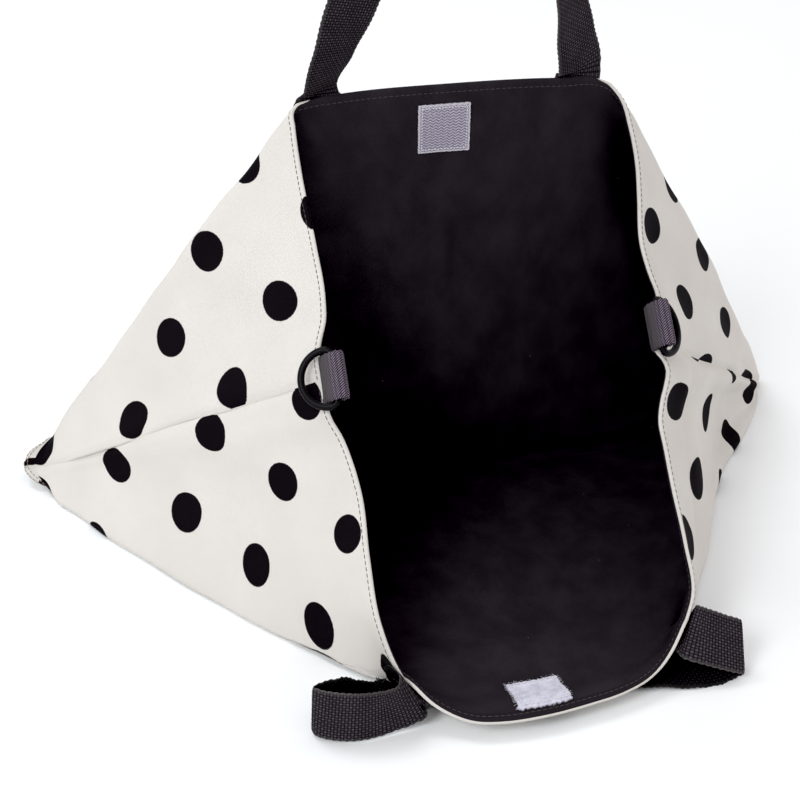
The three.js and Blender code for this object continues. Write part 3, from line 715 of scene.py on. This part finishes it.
def quad_uv():
    """Flat-pattern place of each corner of each face: tube, then base."""
    i = np.arange(NC)
    a_next, b_next = np.append(col_a[1:], ROUND), np.append(col_b[1:], ROUND)
    out = np.zeros((NC, NR, 4, 2))
    for j in range(NR):
        for c, (a, b, d) in enumerate(((col_a, col_b, j), (a_next, b_next, j), (a_next, b_next, j + 1), (col_a, col_b, j + 1))):
            al = a * (1 - V_[d]) + b * V_[d]
            dn = np.full(NC, downs[d])
            out[:, j, c] = np.where((i < o3)[:, None], lattice_uv(True, dn, al), lattice_uv(False, dn, al))
    base = np.zeros((NB, NW, 4, 2))
    for c, (dp, dq) in enumerate(((0, 0), (0, 1), (1, 1), (1, 0))):
        u = u_s[pp + dp]
        w = w_s[qq + dq]
        e = 190.5 * (1 + u)
        f = (37 * w - 22) * (1 + 3.8 * np.exp(-((e / 14) ** 2))) / LATTICE      # gathered where it puffs out
        e = (e - 4) / LATTICE
        base[:, :, c] = np.stack([(e + f) / 2, (e - f) / 2], -1)
    edge_rows = int(np.searchsorted(downs, 3.2))
    out[o4 + 2 : o5 - 2, :edge_rows] = 0.5                       # no dot reaches the edge of the lip
    return out.reshape(-1, 4, 2), base.reshape(-1, 4, 2)


UV_TUBE, UV_BASE = quad_uv()


def make_outer():
    """Outer cloth: rolled over at the rim and turned in behind the lining."""
    out = SKIN + SKIN_N * 0.6
    g = out[: NC * (NR + 1)].reshape(NC, NR + 1, 3)
    roll = {0: 0.22, 1: 0.5}
    for j, off in roll.items():
        g[:, j] = GRID[:, j] + GRID_N[:, j] * off
    P = out.copy()
    hem = [(0.0, -0.45), (0.35, -0.95), (1.1, -1.08), (3.4, -1.02)]
    rows = []
    for down, off in hem:
        j = int(np.clip(np.searchsorted(downs, down, side="right") - 1, 0, NR - 1))
        r = (down - downs[j]) / (downs[j + 1] - downs[j])
        rows.append((GRID[:, j] * (1 - r) + GRID[:, j + 1] * r) + (GRID_N[:, j] * (1 - r) + GRID_N[:, j + 1] * r) * off)
    n0 = len(P)
    P = np.concatenate([P] + rows)
    faces = [tuple(f) for f in QUADS]
    uv = [UV_TUBE, UV_BASE]
    prev = tube_id[:, 0]
    more, muv = [], []
    for k in range(len(hem)):
        cur = n0 + k * NC + np.arange(NC)
        for i in range(NC):
            j = (i + 1) % NC
            more.append((cur[i], cur[j], prev[j], prev[i]))
            muv.append(UV_TUBE.reshape(NC, NR, 4, 2)[i, 0])
        prev = cur
    faces += more
    uv.append(np.array(muv))
    ob = make_mesh("outer_bag", P, faces, np.concatenate([x.reshape(-1, 2) for x in uv]), CANVAS)
    follow_mouth(ob)
    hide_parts("front_panel", "front_side_left", "front_side_right", "back_panel", "back_side_left", "back_side_right", "base_panel")
    return ob


def make_lining():
    """Lining: hangs inside the outer cloth, its top edge turned under just below the rim."""
    P = SKIN - SKIN_N * 1.75
    g = P[: NC * (NR + 1)].reshape(NC, NR + 1, 3)
    # it lies close in the sharp folds beside the front panel
    near = np.ones((NC, NR + 1))
    for c in (o4, o5):
        near = np.minimum(near, 1 - smooth(28, 6, np.abs(ALONG - ALONG[c])) * smooth(7, 30, DOWN))
    g += GRID_N * (1.3 * (1 - near))[:, :, None]
    prof = {0: (0.25, -0.7), 1: (0.5, -1.32), 2: (1.1, -1.75), 3: (1.8, -1.8), 4: (3.0, -1.66), 5: (4.8, -1.75)}
    for j, (down, off) in prof.items():
        r = np.clip((down - downs[0]) / (downs[5] - downs[0]), 0, 1) * (downs[5] - downs[0])
        k = int(np.clip(np.searchsorted(downs, r, side="right") - 1, 0, NR - 1))
        f = (r - downs[k]) / (downs[k + 1] - downs[k])
        g[:, j] = (GRID[:, k] * (1 - f) + GRID[:, k + 1] * f) + (GRID_N[:, k] * (1 - f) + GRID_N[:, k + 1] * f) * off
    # along the back of the rim it is rolled right over the edge
    over = (smooth(134, 148, col_a) * smooth(287, 274, col_a))[:, None]
    rise = GRID[:, 0] - GRID[:, 4]
    rise /= np.linalg.norm(rise, axis=1)[:, None]
    for j, (h, off) in enumerate(((0.1, 0.8), (0.62, 0.4), (0.72, -0.4), (0.2, -1.3), (-1.4, -1.75))):
        g[:, j] = g[:, j] * (1 - over) + (GRID[:, 0] + rise * h + GRID_N[:, 0] * off) * over
    # the lining is a touch looser than the outer cloth: shallow creases of its own
    loose = np.zeros((NC, NR + 1))
    for amp, kx, ky, ph in ((0.5, 0.06, 0.05, 1.0), (0.4, -0.09, 0.07, 3.0), (0.25, 0.17, -0.13, 0.5), (0.18, 0.05, 0.29, 2.2)):
        loose += amp * (0.5 + 0.5 * np.sin(kx * ALONG + ky * DOWN + ph))
    loose *= smooth(6, 30, DOWN) * smooth(0, 25, PANEL_DEEP - DOWN) * near
    g -= GRID_N * loose[:, :, None]
    # it spans the puffed end of the base strip straight
    k = int(np.argmax(190.5 * (1 + u_s) > 22))
    for i in range(1, k):
        t = (1 + u_s[i]) / (1 + u_s[k])
        P[base_id[i, 1:NW]] = P[base_id[0, 1:NW]] * (1 - t) + P[base_id[k, 1:NW]] * t
    low = np.full(len(P), 1.7)
    sides = low[:NC * (NR + 1)].reshape(NC, NR + 1)
    sides[:] = 0.5 + 1.2 * near
    sides[o3:o4] = sides[o5:] = 0.5
    P[:, 2] = np.maximum(P[:, 2], low)
    ob = make_mesh("lining", P, [tuple(f) for f in QUADS], np.concatenate([UV_TUBE.reshape(-1, 2), UV_BASE.reshape(-1, 2)]), LINING, flip=True)
    follow_mouth(ob)
    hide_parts("front_lining", "front_lining_left", "front_lining_right", "back_lining", "back_lining_left", "back_lining_right", "base_lining")
    return ob


outer, lining = make_outer(), make_lining()


# ------------------------------------------------------------------ webbing
def centripetal(C, per=24):
    """Dense points of a centripetal spline through C, with the place of each in station count."""
    C = np.asarray(C, float)
    n = len(C)
    ext = np.concatenate([[2 * C[0] - C[1]], C, [2 * C[-1] - C[-2]]])
    pts, pos = [], []
    for k in range(n - 1):
        p0, p1, p2, p3 = ext[k : k + 4]
        d0, d1, d2 = (max(np.linalg.norm(b - a) ** 0.5, 1e-4) for a, b in ((p0, p1), (p1, p2), (p2, p3)))
        m1 = (p1 - p0) / d0 - (p2 - p0) / (d0 + d1) + (p2 - p1) / d1
        m2 = (p2 - p1) / d1 - (p3 - p1) / (d1 + d2) + (p3 - p2) / d2
        m1, m2 = m1 * d1, m2 * d1
        for q in range(per):
            t = q / per
            pts.append(p1 * (2 * t**3 - 3 * t**2 + 1) + m1 * (t**3 - 2 * t**2 + t) + p2 * (-2 * t**3 + 3 * t**2) + m2 * (t**3 - t**2))
            pos.append(k + t)
    pts.append(C[-1])
    pos.append(n - 1)
    return np.array(pts), np.array(pos)


def weave(u, y):
    """Height of plain-weave threads over the webbing's face."""
    x, z = (y + 12.5) / WARP, u / WEFT
    i, j = np.floor(x), np.floor(z)
    fx, fz = x - i - 0.5, z - j - 0.5
    even = (i + j) % 2 == 0
    a = (1 - (2 * fx) ** 2) * np.cos(math.pi * fz * 0.9)
    b = (1 - (2 * fz) ** 2) * np.cos(math.pi * fx * 0.9) * 0.7
    return np.where(even, a, b)


def ribbon(name, stations, material, width=25.0, thick=1.5, lift=0.24, step=0.71, centred=False, square=True, painted_shade_on_reverse=False):
    """A band of woven webbing through stations (middle, across). Returns the object, its points and how far along each lies."""
    C, pos = centripetal([s[0] for s in stations])
    W = np.array([np.asarray(s[1], float) / np.linalg.norm(s[1]) for s in stations])
    k = np.minimum(pos.astype(int), len(W) - 2)
    r = pos - k
    e = (r * r * (3 - 2 * r))[:, None]
    across = W[k] * (1 - e) + W[k + 1] * e
    s = np.concatenate([[0], np.cumsum(np.linalg.norm(np.diff(C, axis=0), axis=1))])
    n = int(round(s[-1] / step))
    u = np.linspace(0, s[-1], n + 1)
    C = np.stack([np.interp(u, s, C[:, c]) for c in range(3)], -1)
    across = np.stack([np.interp(u, s, across[:, c]) for c in range(3)], -1)
    T = np.gradient(C, axis=0)
    T /= np.linalg.norm(T, axis=1)[:, None]
    if square:
        across -= T * (across * T).sum(1)[:, None]
    across /= np.linalg.norm(across, axis=1)[:, None]
    N = np.cross(T, across)
    N /= np.linalg.norm(N, axis=1)[:, None]
    middle = s[-1] / 2 if centred else 0.0
    cols = int(round(width / (WARP / 2)))
    y = np.linspace(-width / 2, width / 2, cols + 1)
    body = np.sqrt(np.maximum(0, 1 - np.abs(y / (width / 2)) ** 10)) * 0.85 + 0.15
    U, Y = np.meshgrid(u, y, indexing="ij")
    scallop = 0.22 * np.cos(math.pi * U / WEFT) * smooth(width / 2 - 0.9, width / 2, np.abs(Y)) * np.sign(Y)
    top = thick / 2 * body[None, :] - lift * 0.5 + lift * weave(U, Y)
    bot = thick / 2 * body[None, :] - lift * 0.5 + lift * weave(U + WEFT, Y)
    at = C[:, None, :] + across[:, None, :] * (Y + scallop)[:, :, None]
    A = at + N[:, None, :] * top[:, :, None]
    B = at - N[:, None, :] * bot[:, :, None]
    nu, nv = A.shape[:2]
    P = np.concatenate([A.reshape(-1, 3), B.reshape(-1, 3)])
    ida = np.arange(nu * nv).reshape(nu, nv)
    idb = ida + nu * nv
    faces, uvs = [], []
    def quad(ids, ks, past=0.0):
        faces.append(ids)
        uvs.append([((U.flat[q] - middle) / 10, Y.flat[q] / 10 + past) for q in ks])
    for a in range(nu - 1):
        for b in range(nv - 1):
            f = (ida[a, b], ida[a + 1, b], ida[a + 1, b + 1], ida[a, b + 1])
            quad(f, f)
            # a reverse face sent ten further across gets painted shade in the webbing material
            quad(tuple(q + nu * nv for q in f[::-1]), f[::-1], 10.0 if painted_shade_on_reverse else 0.0)
        for b, turn in ((0, False), (nv - 1, True)):
            f = (ida[a, b], idb[a, b], idb[a + 1, b], ida[a + 1, b])
            ks = (ida[a, b], ida[a, b], ida[a + 1, b], ida[a + 1, b])
            quad(f[::-1] if turn else f, ks[::-1] if turn else ks)
    for a, turn in ((0, True), (nu - 1, False)):
        for b in range(nv - 1):
            f = (ida[a, b], idb[a, b], idb[a, b + 1], ida[a, b + 1])
            ks = (ida[a, b], ida[a, b], ida[a, b + 1], ida[a, b + 1])
            quad(f[::-1] if not turn else f, ks[::-1] if not turn else ks)
    ob = make_mesh(name, P, faces, np.array([c for q in uvs for c in q]), material)
    far = np.concatenate([U.reshape(-1), U.reshape(-1)])
    return ob, P, far, s[-1]


def sewn_stations(along, downs_, off, sign):
    out = []
    for d in downs_:
        p, _ = on_cloth(along, d, off)
        a, _ = on_cloth(along - 6, d, off)
        b, _ = on_cloth(along + 6, d, off)
        out.append((p, (b - a) * sign))
    return out


def turn(deg):
    return np.array([math.cos(math.radians(deg)), math.sin(math.radians(deg)), 0.0])


def back_leg(side, h):
    x = -64.5 + 0.262 * h if side < 0 else 63 - 0.285 * h
    return np.array([x, -27.5 - 0.235 * h, 207 + h])


SEWN_OFF = 2.2
back_stations = (
    sewn_stations(209 - 62, (37, 26, 15, 6), SEWN_OFF, 1)
    + [(back_leg(-1, 3), turn(38)), (back_leg(-1, 20), turn(24)), (back_leg(-1, 46), turn(6)), (back_leg(-1, 90), turn(-22)),
       (back_leg(-1, 135), turn(-52)), (back_leg(-1, 175), turn(-78)), (back_leg(-1, 200), turn(-88)),
       (np.array([-4, -27.5 - 0.235 * 213, 207 + 213.0]), turn(-90)),
       (back_leg(1, 200), turn(-92)), (back_leg(1, 175), turn(-100)), (back_leg(1, 135), turn(-110)), (back_leg(1, 90), turn(-124)),
       (back_leg(1, 46), turn(-138)), (back_leg(1, 20), turn(-152)), (back_leg(1, 3), turn(-162))]
    + sewn_stations(209 + 62, (6, 15, 26, 37), SEWN_OFF, -1)
)
back_handle, bh_p, bh_u, bh_len = ribbon("back_handle_webbing", back_stations, WEB)

front_free = [
    ((-67.6, -224.6, 18.6), (0.54, -0.51, -0.67)), ((-66.4, -227.4, 16.6), (0.46, -0.2, -0.86)), ((-70.3, -229.8, 14.3), (0.35, 0.02, -0.94)),
    ((-76.6, -231.0, 13.7), (0.22, 0.03, -0.975)), ((-83.1, -231.8, 13.4), (0.04, -0.03, -1)), ((-88.4, -232.0, 13.4), (0, -0.06, -1)),
    ((-94.2, -231.3, 13.4), (-0.05, -0.08, -1)), ((-101.4, -228.9, 13.4), (-0.06, -0.08, -1)), ((-107.3, -225.4, 13.4), (-0.06, -0.05, -1)),
    ((-108.9, -222.6, 13.3), (0, 0, -1)), ((-105.8, -220.5, 13.2), (0, 0, -1)), ((-99, -221.3, 12.8), (0, -0.2, -0.98)),
    ((-93, -221.2, 10.9), (0, -0.55, -0.835)), ((-86, -219.2, 6.9), (0, -0.86, -0.51)), ((-76, -214, 2.9), (0, -0.985, -0.17)),
    ((-62, -208, 1.5), (0, -1, -0.03)), ((-45, -205, 1.3), (0, -1, 0)), ((-25, -207, 1.15), (0, -1, 0)), ((5, -210.5, 1.15), (0, -1, 0)),
    ((30, -214.2, 1.5), (0, -1, 0)), ((48, -217.5, 2.4), (0, -1, -0.05)), ((62, -220.3, 3.6), (0, -0.97, -0.24)), ((75, -221.8, 6.2), (0, -0.85, -0.53)),
    ((82.5, -222.6, 9.4), (0, -0.62, -0.78)), ((86.6, -223.2, 11.4), (-0.01, -0.5, -0.87)), ((88.0, -224.3, 12.8), (-0.02, -0.47, -0.88)),
    ((86.6, -225.3, 14.4), (-0.05, -0.5, -0.86)), ((81.5, -224.6, 16.3), (-0.1, -0.58, -0.8)), ((71.4, -221.8, 19.7), (-0.22, -0.6, -0.77)), ((64.8, -219, 21.4), (-0.45, -0.6, -0.66)),
]
front_stations = (
    [q for a, d in ((156, 34), (150, 25), (143, 15), (138, 6)) for q in sewn_stations(ROUND - a, (d,), SEWN_OFF, -1)]
    + [(np.array(c, float), np.array(w, float)) for c, w in front_free]
    + [q for a, d in ((133, 9), (137, 16), (142, 25), (147, 34)) for q in sewn_stations(HALF_ROUND + a, (d,), SEWN_OFF, 1)]
)
# the front handle's reverse face, inside its loops, gets painted shade
front_handle, fh_p, fh_u, fh_len = ribbon("front_handle_webbing", front_stations, WEB, square=False, painted_shade_on_reverse=True)

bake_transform(back_handle)
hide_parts("back_handle", "back_handle_end_left", "back_handle_end_right")
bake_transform(front_handle)
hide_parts("front_handle", "front_handle_end_left", "front_handle_end_right")


# ------------------------------------------------------------------ side tabs and D-rings
TAB_WIDTH, TAB_CREST = 21.4, 14.0
TABS = {"left": (-0.5, 0.0, 7.4, 152.0), "right": (6.0, 60.0, 6.0, 163.0)}     # along from the seam, tipped outwards, bar from the rim, ring's angle


def ring_frame(side):
    left = side == "left"
    s = rim_point(-84, 3) if left else rim_point(72, 4)
    far = base_point(-1 if left else 1, 0.5)
    along = np.array([0, MC, MS])
    out = s - far
    out = out / np.linalg.norm(out)
    out = out - along * (out @ along)
    out /= np.linalg.norm(out)
    face = np.cross(along, out)
    if left != (face[0] < 0):
        face = -face
    return s + along * TABS[side][0], along, out, face


def make_tab(side):
    at, along, out, face = ring_frame(side)
    tip, bar = math.radians(TABS[side][1]), TABS[side][2]
    mid = TAB_CREST - 3.2
    path = [(-1.6, -0.3), (0.0, -0.2), (1.4, 0.4), (max(2.2, bar - 4.4), 1.5), (bar - 2.0, 2.35), (bar, 2.5), (mid - 0.6, 2.5)]
    path += [(mid + 2.5 * math.cos(math.radians(a)), 2.5 * math.sin(math.radians(a))) for a in (80, 55, 28, 0, -28, -55, -80)]
    path += [(mid - 0.6, -2.5), (bar, -2.5), (bar - 2.0, -2.35), (max(2.2, bar - 4.4), -1.6), (1.4, -0.8), (0.0, -0.45), (-1.6, -0.35)]
    st = []
    for o, f in path:
        g = tip * float(smooth(-0.2, 1.6, o))
        st.append((at + out * (o * math.cos(g) - f * math.sin(g)) + face * (o * math.sin(g) + f * math.cos(g)), along))
    ob, P, _, _ = ribbon(side + "_tab_webbing", st, TAB, width=TAB_WIDTH, thick=1.3, lift=0.06, step=0.5, centred=True)
    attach(ob, side + "_seam")
    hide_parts(side + "_tab")
    return ob


def make_ring(side):
    at, along, out, face = ring_frame(side)
    ang, tip = math.radians(TABS[side][3]), math.radians(TABS[side][1])
    u = out * math.cos(ang) + face * math.sin(ang)
    bar = at + (out * math.cos(tip) + face * math.sin(tip)) * TABS[side][2] - along * (0.4 if side == "right" else 0.0)
    nrm = np.cross(along, u)
    h, corner, depth, wire = 12.8, 3.0, 15.2, 1.65
    path = [(0, q * (h - corner)) for q in np.linspace(-1, 1, 13)]
    path += [(corner - corner * math.cos(math.radians(a)), h - corner + corner * math.sin(math.radians(a))) for a in range(15, 91, 15)]
    path += [(corner + (depth - corner) * math.cos(math.radians(a)), h * math.sin(math.radians(a))) for a in range(84, -85, -6)]
    path += [(corner - corner * math.cos(math.radians(a)), -(h - corner) - corner * math.sin(math.radians(a))) for a in range(90, 14, -15)]
    C = np.array([bar + u * d + along * b for d, b in path])
    n, m = len(C), 20
    T = np.roll(C, -1, 0) - np.roll(C, 1, 0)
    T /= np.linalg.norm(T, axis=1)[:, None]
    P = []
    for k in range(n):
        b = np.cross(nrm, T[k])
        for c in range(m):
            g = 2 * math.pi * c / m
            P.append(C[k] + (b * math.cos(g) + nrm * math.sin(g)) * wire)
    F = [(k * m + c, k * m + (c + 1) % m, ((k + 1) % n) * m + (c + 1) % m, ((k + 1) % n) * m + c) for k in range(n) for c in range(m)]
    P = np.array(P)
    q = np.array(F)
    if ((P[q].mean(1) - C[q[:, 0] // m]) * np.cross(P[q[:, 2]] - P[q[:, 0]], P[q[:, 3]] - P[q[:, 1]])).sum() < 0:
        F = [f[::-1] for f in F]
    ob = make_mesh(side + "_ring_wire", P, F, material=METAL)
    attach(ob, side + "_ring")
    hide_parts(side + "_d_ring")
    return ob


for side in ("left", "right"):
    make_tab(side)
    make_ring(side)


# ------------------------------------------------------------------ touch-fastener patches
def make_patch(name, middle, start, material, node, body, relief, ragged):
    n = 84
    size = 25.0
    near = -2.1
    a = np.linspace(0, 1, n)
    A, D = np.meshgrid(a, a, indexing="ij")
    wob = lambda seed, amp: amp * np.interp(a, np.linspace(0, 1, 29), np.random.default_rng(seed).uniform(-1, 1, 29))
    lo_a, hi_a, lo_d, hi_d = (wob(s, ragged) for s in (11, 12, 13, 14))
    top, low = np.zeros((n, n, 3)), np.zeros((n, n, 3))
    for i in range(n):
        for j in range(n):
            al = middle + size * (a[i] - 0.5) + lo_a[j] * (1 - a[i]) + hi_a[j] * a[i]
            dn = start + size * a[j] + lo_d[i] * (1 - a[j]) + hi_d[i] * a[j]
            e = min(a[i], 1 - a[i], a[j], 1 - a[j]) * size
            z = relief(a[i] * size, a[j] * size, e)
            top[i, j], _ = on_cloth(al, dn, near - z)
            low[i, j], _ = on_cloth(al, dn, near + 0.3)
    P = np.concatenate([top.reshape(-1, 3), low.reshape(-1, 3)])
    ids = np.arange(n * n).reshape(n, n)
    F, UV = [], []
    tex = np.stack([A, D], -1).reshape(-1, 2)
    for i in range(n - 1):
        for j in range(n - 1):
            f = (ids[i, j], ids[i, j + 1], ids[i + 1, j + 1], ids[i + 1, j])
            F.append(f)
            UV += [tex[k] for k in f]
            F.append(tuple(k + n * n for k in f[::-1]))
            UV += [tex[k] for k in f[::-1]]
    loop = [ids[i, 0] for i in range(n)] + [ids[n - 1, j] for j in range(1, n)] + [ids[i, n - 1] for i in range(n - 2, -1, -1)] + [ids[0, j] for j in range(n - 2, 0, -1)]
    for k in range(len(loop)):
        b, c = loop[k], loop[(k + 1) % len(loop)]
        F.append((b, c, c + n * n, b + n * n))
        UV += [tex[b], tex[c], tex[c], tex[b]]
    ob = make_mesh(name, P, F, np.array(UV), material)
    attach(ob, body)
    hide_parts(node)
    return ob


def hook_relief(x, y, e):
    zig = abs((x * 9 / 25) % 1 - 0.5)
    row = math.sin((y / 25 + zig * 0.085) * 2 * math.pi * 17)
    inside = min(1.0, max(0.0, (e - 1.2) / 0.6))
    return 0.75 + 0.3 * inside * (0.5 + 0.5 * row) + (0.12 if e < 1.2 else 0)


def loop_relief(x, y, e):
    v = 0.5 * math.sin(x * 2.3 + 1.7 * math.sin(y * 1.9)) + 0.5 * math.sin(y * 2.7 + 1.4 * math.sin(x * 2.1 + 1))
    return 0.8 + 0.16 * v + 0.25 * min(1.0, e / 2.0)


hook = make_patch("hook_patch_tape", HALF_ROUND / 2 - 4.1, 8.5, HOOK, "hook_patch", "back_wall", hook_relief, 0.12)
loop = make_patch("loop_patch_tape", 1.5 * HALF_ROUND + 8.0, 4.6, LOOP, "loop_patch", "root", loop_relief, 0.5)


def line_of_stitches(bits, at, start, end, pitch, length, radius, rise=0.25):
    """Stitches along a line; at(t) gives a point and a normal, t in millimetres from start to end."""
    t = start
    while t + length <= end + 1e-6:
        A, n = at(t)
        B, _ = at(t + length)
        stitch(bits, A, B, n, radius, rise)
        t += pitch


def cloth_line(fixed, which, off):
    """at(t) for a line on the cloth: along the rim at a depth, or down from the rim at a place along it."""
    sign = 1 if off > 0 else -1
    def at(t):
        p, n = on_cloth(t, fixed, off) if which == "along" else on_cloth(fixed, t, off)
        return p, n * sign
    return at


# ------------------------------------------------------------------ sewing
top = Bits()
line_of_stitches(top, cloth_line(2.1, "along", 0.64), 0.5, ROUND - 2, 2.7, 1.95, 0.2)
o = top.make("rim_topstitch", THREAD_DARK)
follow_mouth(o)
ins = Bits()
line_of_stitches(ins, cloth_line(3.0, "along", -1.72), 0.5, ROUND - 2, 2.7, 1.95, 0.2)
o = ins.make("rim_topstitch_inside", THREAD_GREY)
follow_mouth(o)


def patch_border(name, middle, start, near, body, inset=1.7):
    b = Bits()
    h = 12.5 - inset
    line_of_stitches(b, cloth_line(start + inset, "along", near), middle - h, middle + h, 1.55, 1.2, 0.3, 0.4)
    line_of_stitches(b, cloth_line(start + 25 - inset, "along", near), middle - h, middle + h, 1.55, 1.2, 0.3, 0.4)
    line_of_stitches(b, cloth_line(middle - h, "down", near), start + inset, start + 25 - inset, 1.55, 1.2, 0.3, 0.4)
    line_of_stitches(b, cloth_line(middle + h, "down", near), start + inset, start + 25 - inset, 1.55, 1.2, 0.3, 0.4)
    o = b.make(name, THREAD_WHITE)
    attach(o, body)


patch_border("hook_patch_stitches", HALF_ROUND / 2 - 4.1, 8.5, -3.1, "back_wall")
patch_border("loop_patch_stitches", 1.5 * HALF_ROUND + 8.0, 4.6, -3.2, "root")

# loose fibres round the cut edges of the loop patch
fib = Bits()
mid, st0 = 1.5 * HALF_ROUND + 8.0, 4.6
for k in range(120):
    side = rng.integers(0, 4)
    t = rng.uniform(-12.5, 12.5)
    if rng.uniform() < 0.45:
        side = 2
    a, d = {0: (t, 0.3), 1: (t, 24.7), 2: (12.3, t + 12.5), 3: (-12.3, t + 12.5)}[int(side)]
    go = {0: (0, -1), 1: (0, 1), 2: (1, 0), 3: (-1, 0)}[int(side)]
    L = rng.uniform(0.6, 2.0)
    bend = rng.uniform(-1.0, 1.0)
    lift = rng.uniform(0.1, 0.8)
    pts = []
    for q in np.linspace(0, 1, 5):
        al = mid + a + go[0] * L * q + (bend * q * q if go[0] == 0 else 0)
        dn = st0 + d + go[1] * L * q + (bend * q * q if go[1] == 0 else 0)
        pts.append(on_cloth(al, min(max(dn, 0.6), 200), -2.6 - lift * math.sin(q * 2.4))[0])
    for q in range(4):
        stitch(fib, pts[q], pts[q + 1], np.array([0, 0, 1.0]), 0.07, 0.0, 4, 3)
o = fib.make("loop_patch_fibres", THREAD_WHITE)
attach(o, "root")

# boxes of stitching that hold the handles' ends
for name, along, body in (("back_left", 209 - 62, "back_wall"), ("back_right", 209 + 62, "back_wall"), ("front_right", HALF_ROUND + 131, "root"), ("front_left", ROUND - 138, "root")):
    b = Bits()
    off = SEWN_OFF + 0.86
    for d in (7.5, 34.0):
        line_of_stitches(b, cloth_line(d, "along", off), along - 9.5, along + 9.5, 2.6, 1.95, 0.3)
    for a in (along - 9.5, along + 9.5):
        line_of_stitches(b, cloth_line(a, "down", off), 7.5, 34.0, 2.6, 1.95, 0.3)
    for sgn in (-1, 1):
        f = lambda t, sgn=sgn: on_cloth(along + sgn * (-9.5 + 19 * t / 32.6), 7.5 + 26.5 * t / 32.6, off)
        line_of_stitches(b, f, 0.4, 32.4, 2.6, 1.95, 0.3)
    o = b.make("handle_stitches_" + name, THREAD_WEB)
    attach(o, body)

# two rows of sewing beside each cross seam of the base
cross = Bits()
for u_end in (-1, 1):
    for inset in (1.7, 3.4):
        pts = []
        for q in range(2, NW - 1):
            k = np.argsort(np.abs((1 - u_end * u_s) * 190 - inset))[:1][0]
            pid = base_id[int(np.clip(k, 1, NB - 1)), q]
            pts.append(SKIN[pid] + SKIN_N[pid] * 0.66)
        pts = np.array(pts)
        s = np.concatenate([[0], np.cumsum(np.linalg.norm(np.diff(pts, axis=0), axis=1))])
        nn = SKIN_N[base_id[1 if u_end < 0 else NB - 1, NS]]
        t = 0.3
        while t + 1.7 < s[-1]:
            A = np.array([np.interp(t, s, pts[:, c]) for c in range(3)])
            B = np.array([np.interp(t + 1.7, s, pts[:, c]) for c in range(3)])
            stitch(cross, A, B, nn, 0.2)
            t += 2.3
o = cross.make("base_seam_stitches", THREAD_TAN)
follow_mouth(o)


# ------------------------------------------------------------------ floor and light
def make_floor():
    me = bpy.data.meshes.new("floor")
    n, R = 24, 6.0
    pts = [(x, y, -0.0004) for x in np.linspace(-R, R, n) for y in np.linspace(-R, R, n)]
    me.from_pydata(pts, [], [(i * n + j, (i + 1) * n + j, (i + 1) * n + j + 1, i * n + j + 1) for i in range(n - 1) for j in range(n - 1)])
    ob = bpy.data.objects.new("floor", me)
    bpy.context.scene.collection.objects.link(ob)
    m, t, b = new_material("white_floor")
    b.inputs["Base Color"].default_value = (0.93, 0.945, 0.955, 1)
    b.inputs["Roughness"].default_value = 0.75
    b.inputs["Specular IOR Level"].default_value = 0.15
    me.materials.append(m)


def area(name, at, to, size, power, colour=(1, 1, 1)):
    d = bpy.data.lights.new(name, "AREA")
    d.shape = "RECTANGLE"
    d.size, d.size_y = size
    d.energy = power
    d.color = colour
    ob = bpy.data.objects.new(name, d)
    ob.location = at
    ob.rotation_mode = "QUATERNION"
    ob.rotation_quaternion = (Vector(to) - Vector(at)).to_track_quat("-Z", "Y")
    bpy.context.scene.collection.objects.link(ob)


make_floor()
area("key", (-1.434, -1.041, 1.580), (0.0, 0.0, 0.1), (0.8, 0.8), 20.0, (0.97, 1.0, 1.02))
area("behind", (-0.713, 0.909, 2.087), (0.0, 0.0, 0.1), (0.8, 0.8), 13.3, (0.97, 1.0, 1.02))
area("side", (1.99, 0.12, 1.25), (0.0, 0.0, 0.1), (0.9, 0.9), 6.6, (1.0, 0.93, 0.93))
world = bpy.data.worlds.new("studio")
world.use_nodes = True
world.node_tree.nodes["Background"].inputs[0].default_value = (1.0, 0.99, 0.99, 1)
world.node_tree.nodes["Background"].inputs[1].default_value = 0.68
bpy.context.scene.world = world
view = bpy.context.scene.view_settings
view.view_transform = "Standard"
view.use_curve_mapping = True                        # deep shadows go to black, as in the photo
view.curve_mapping.black_level = (0.008, 0.008, 0.008)
view.curve_mapping.update()
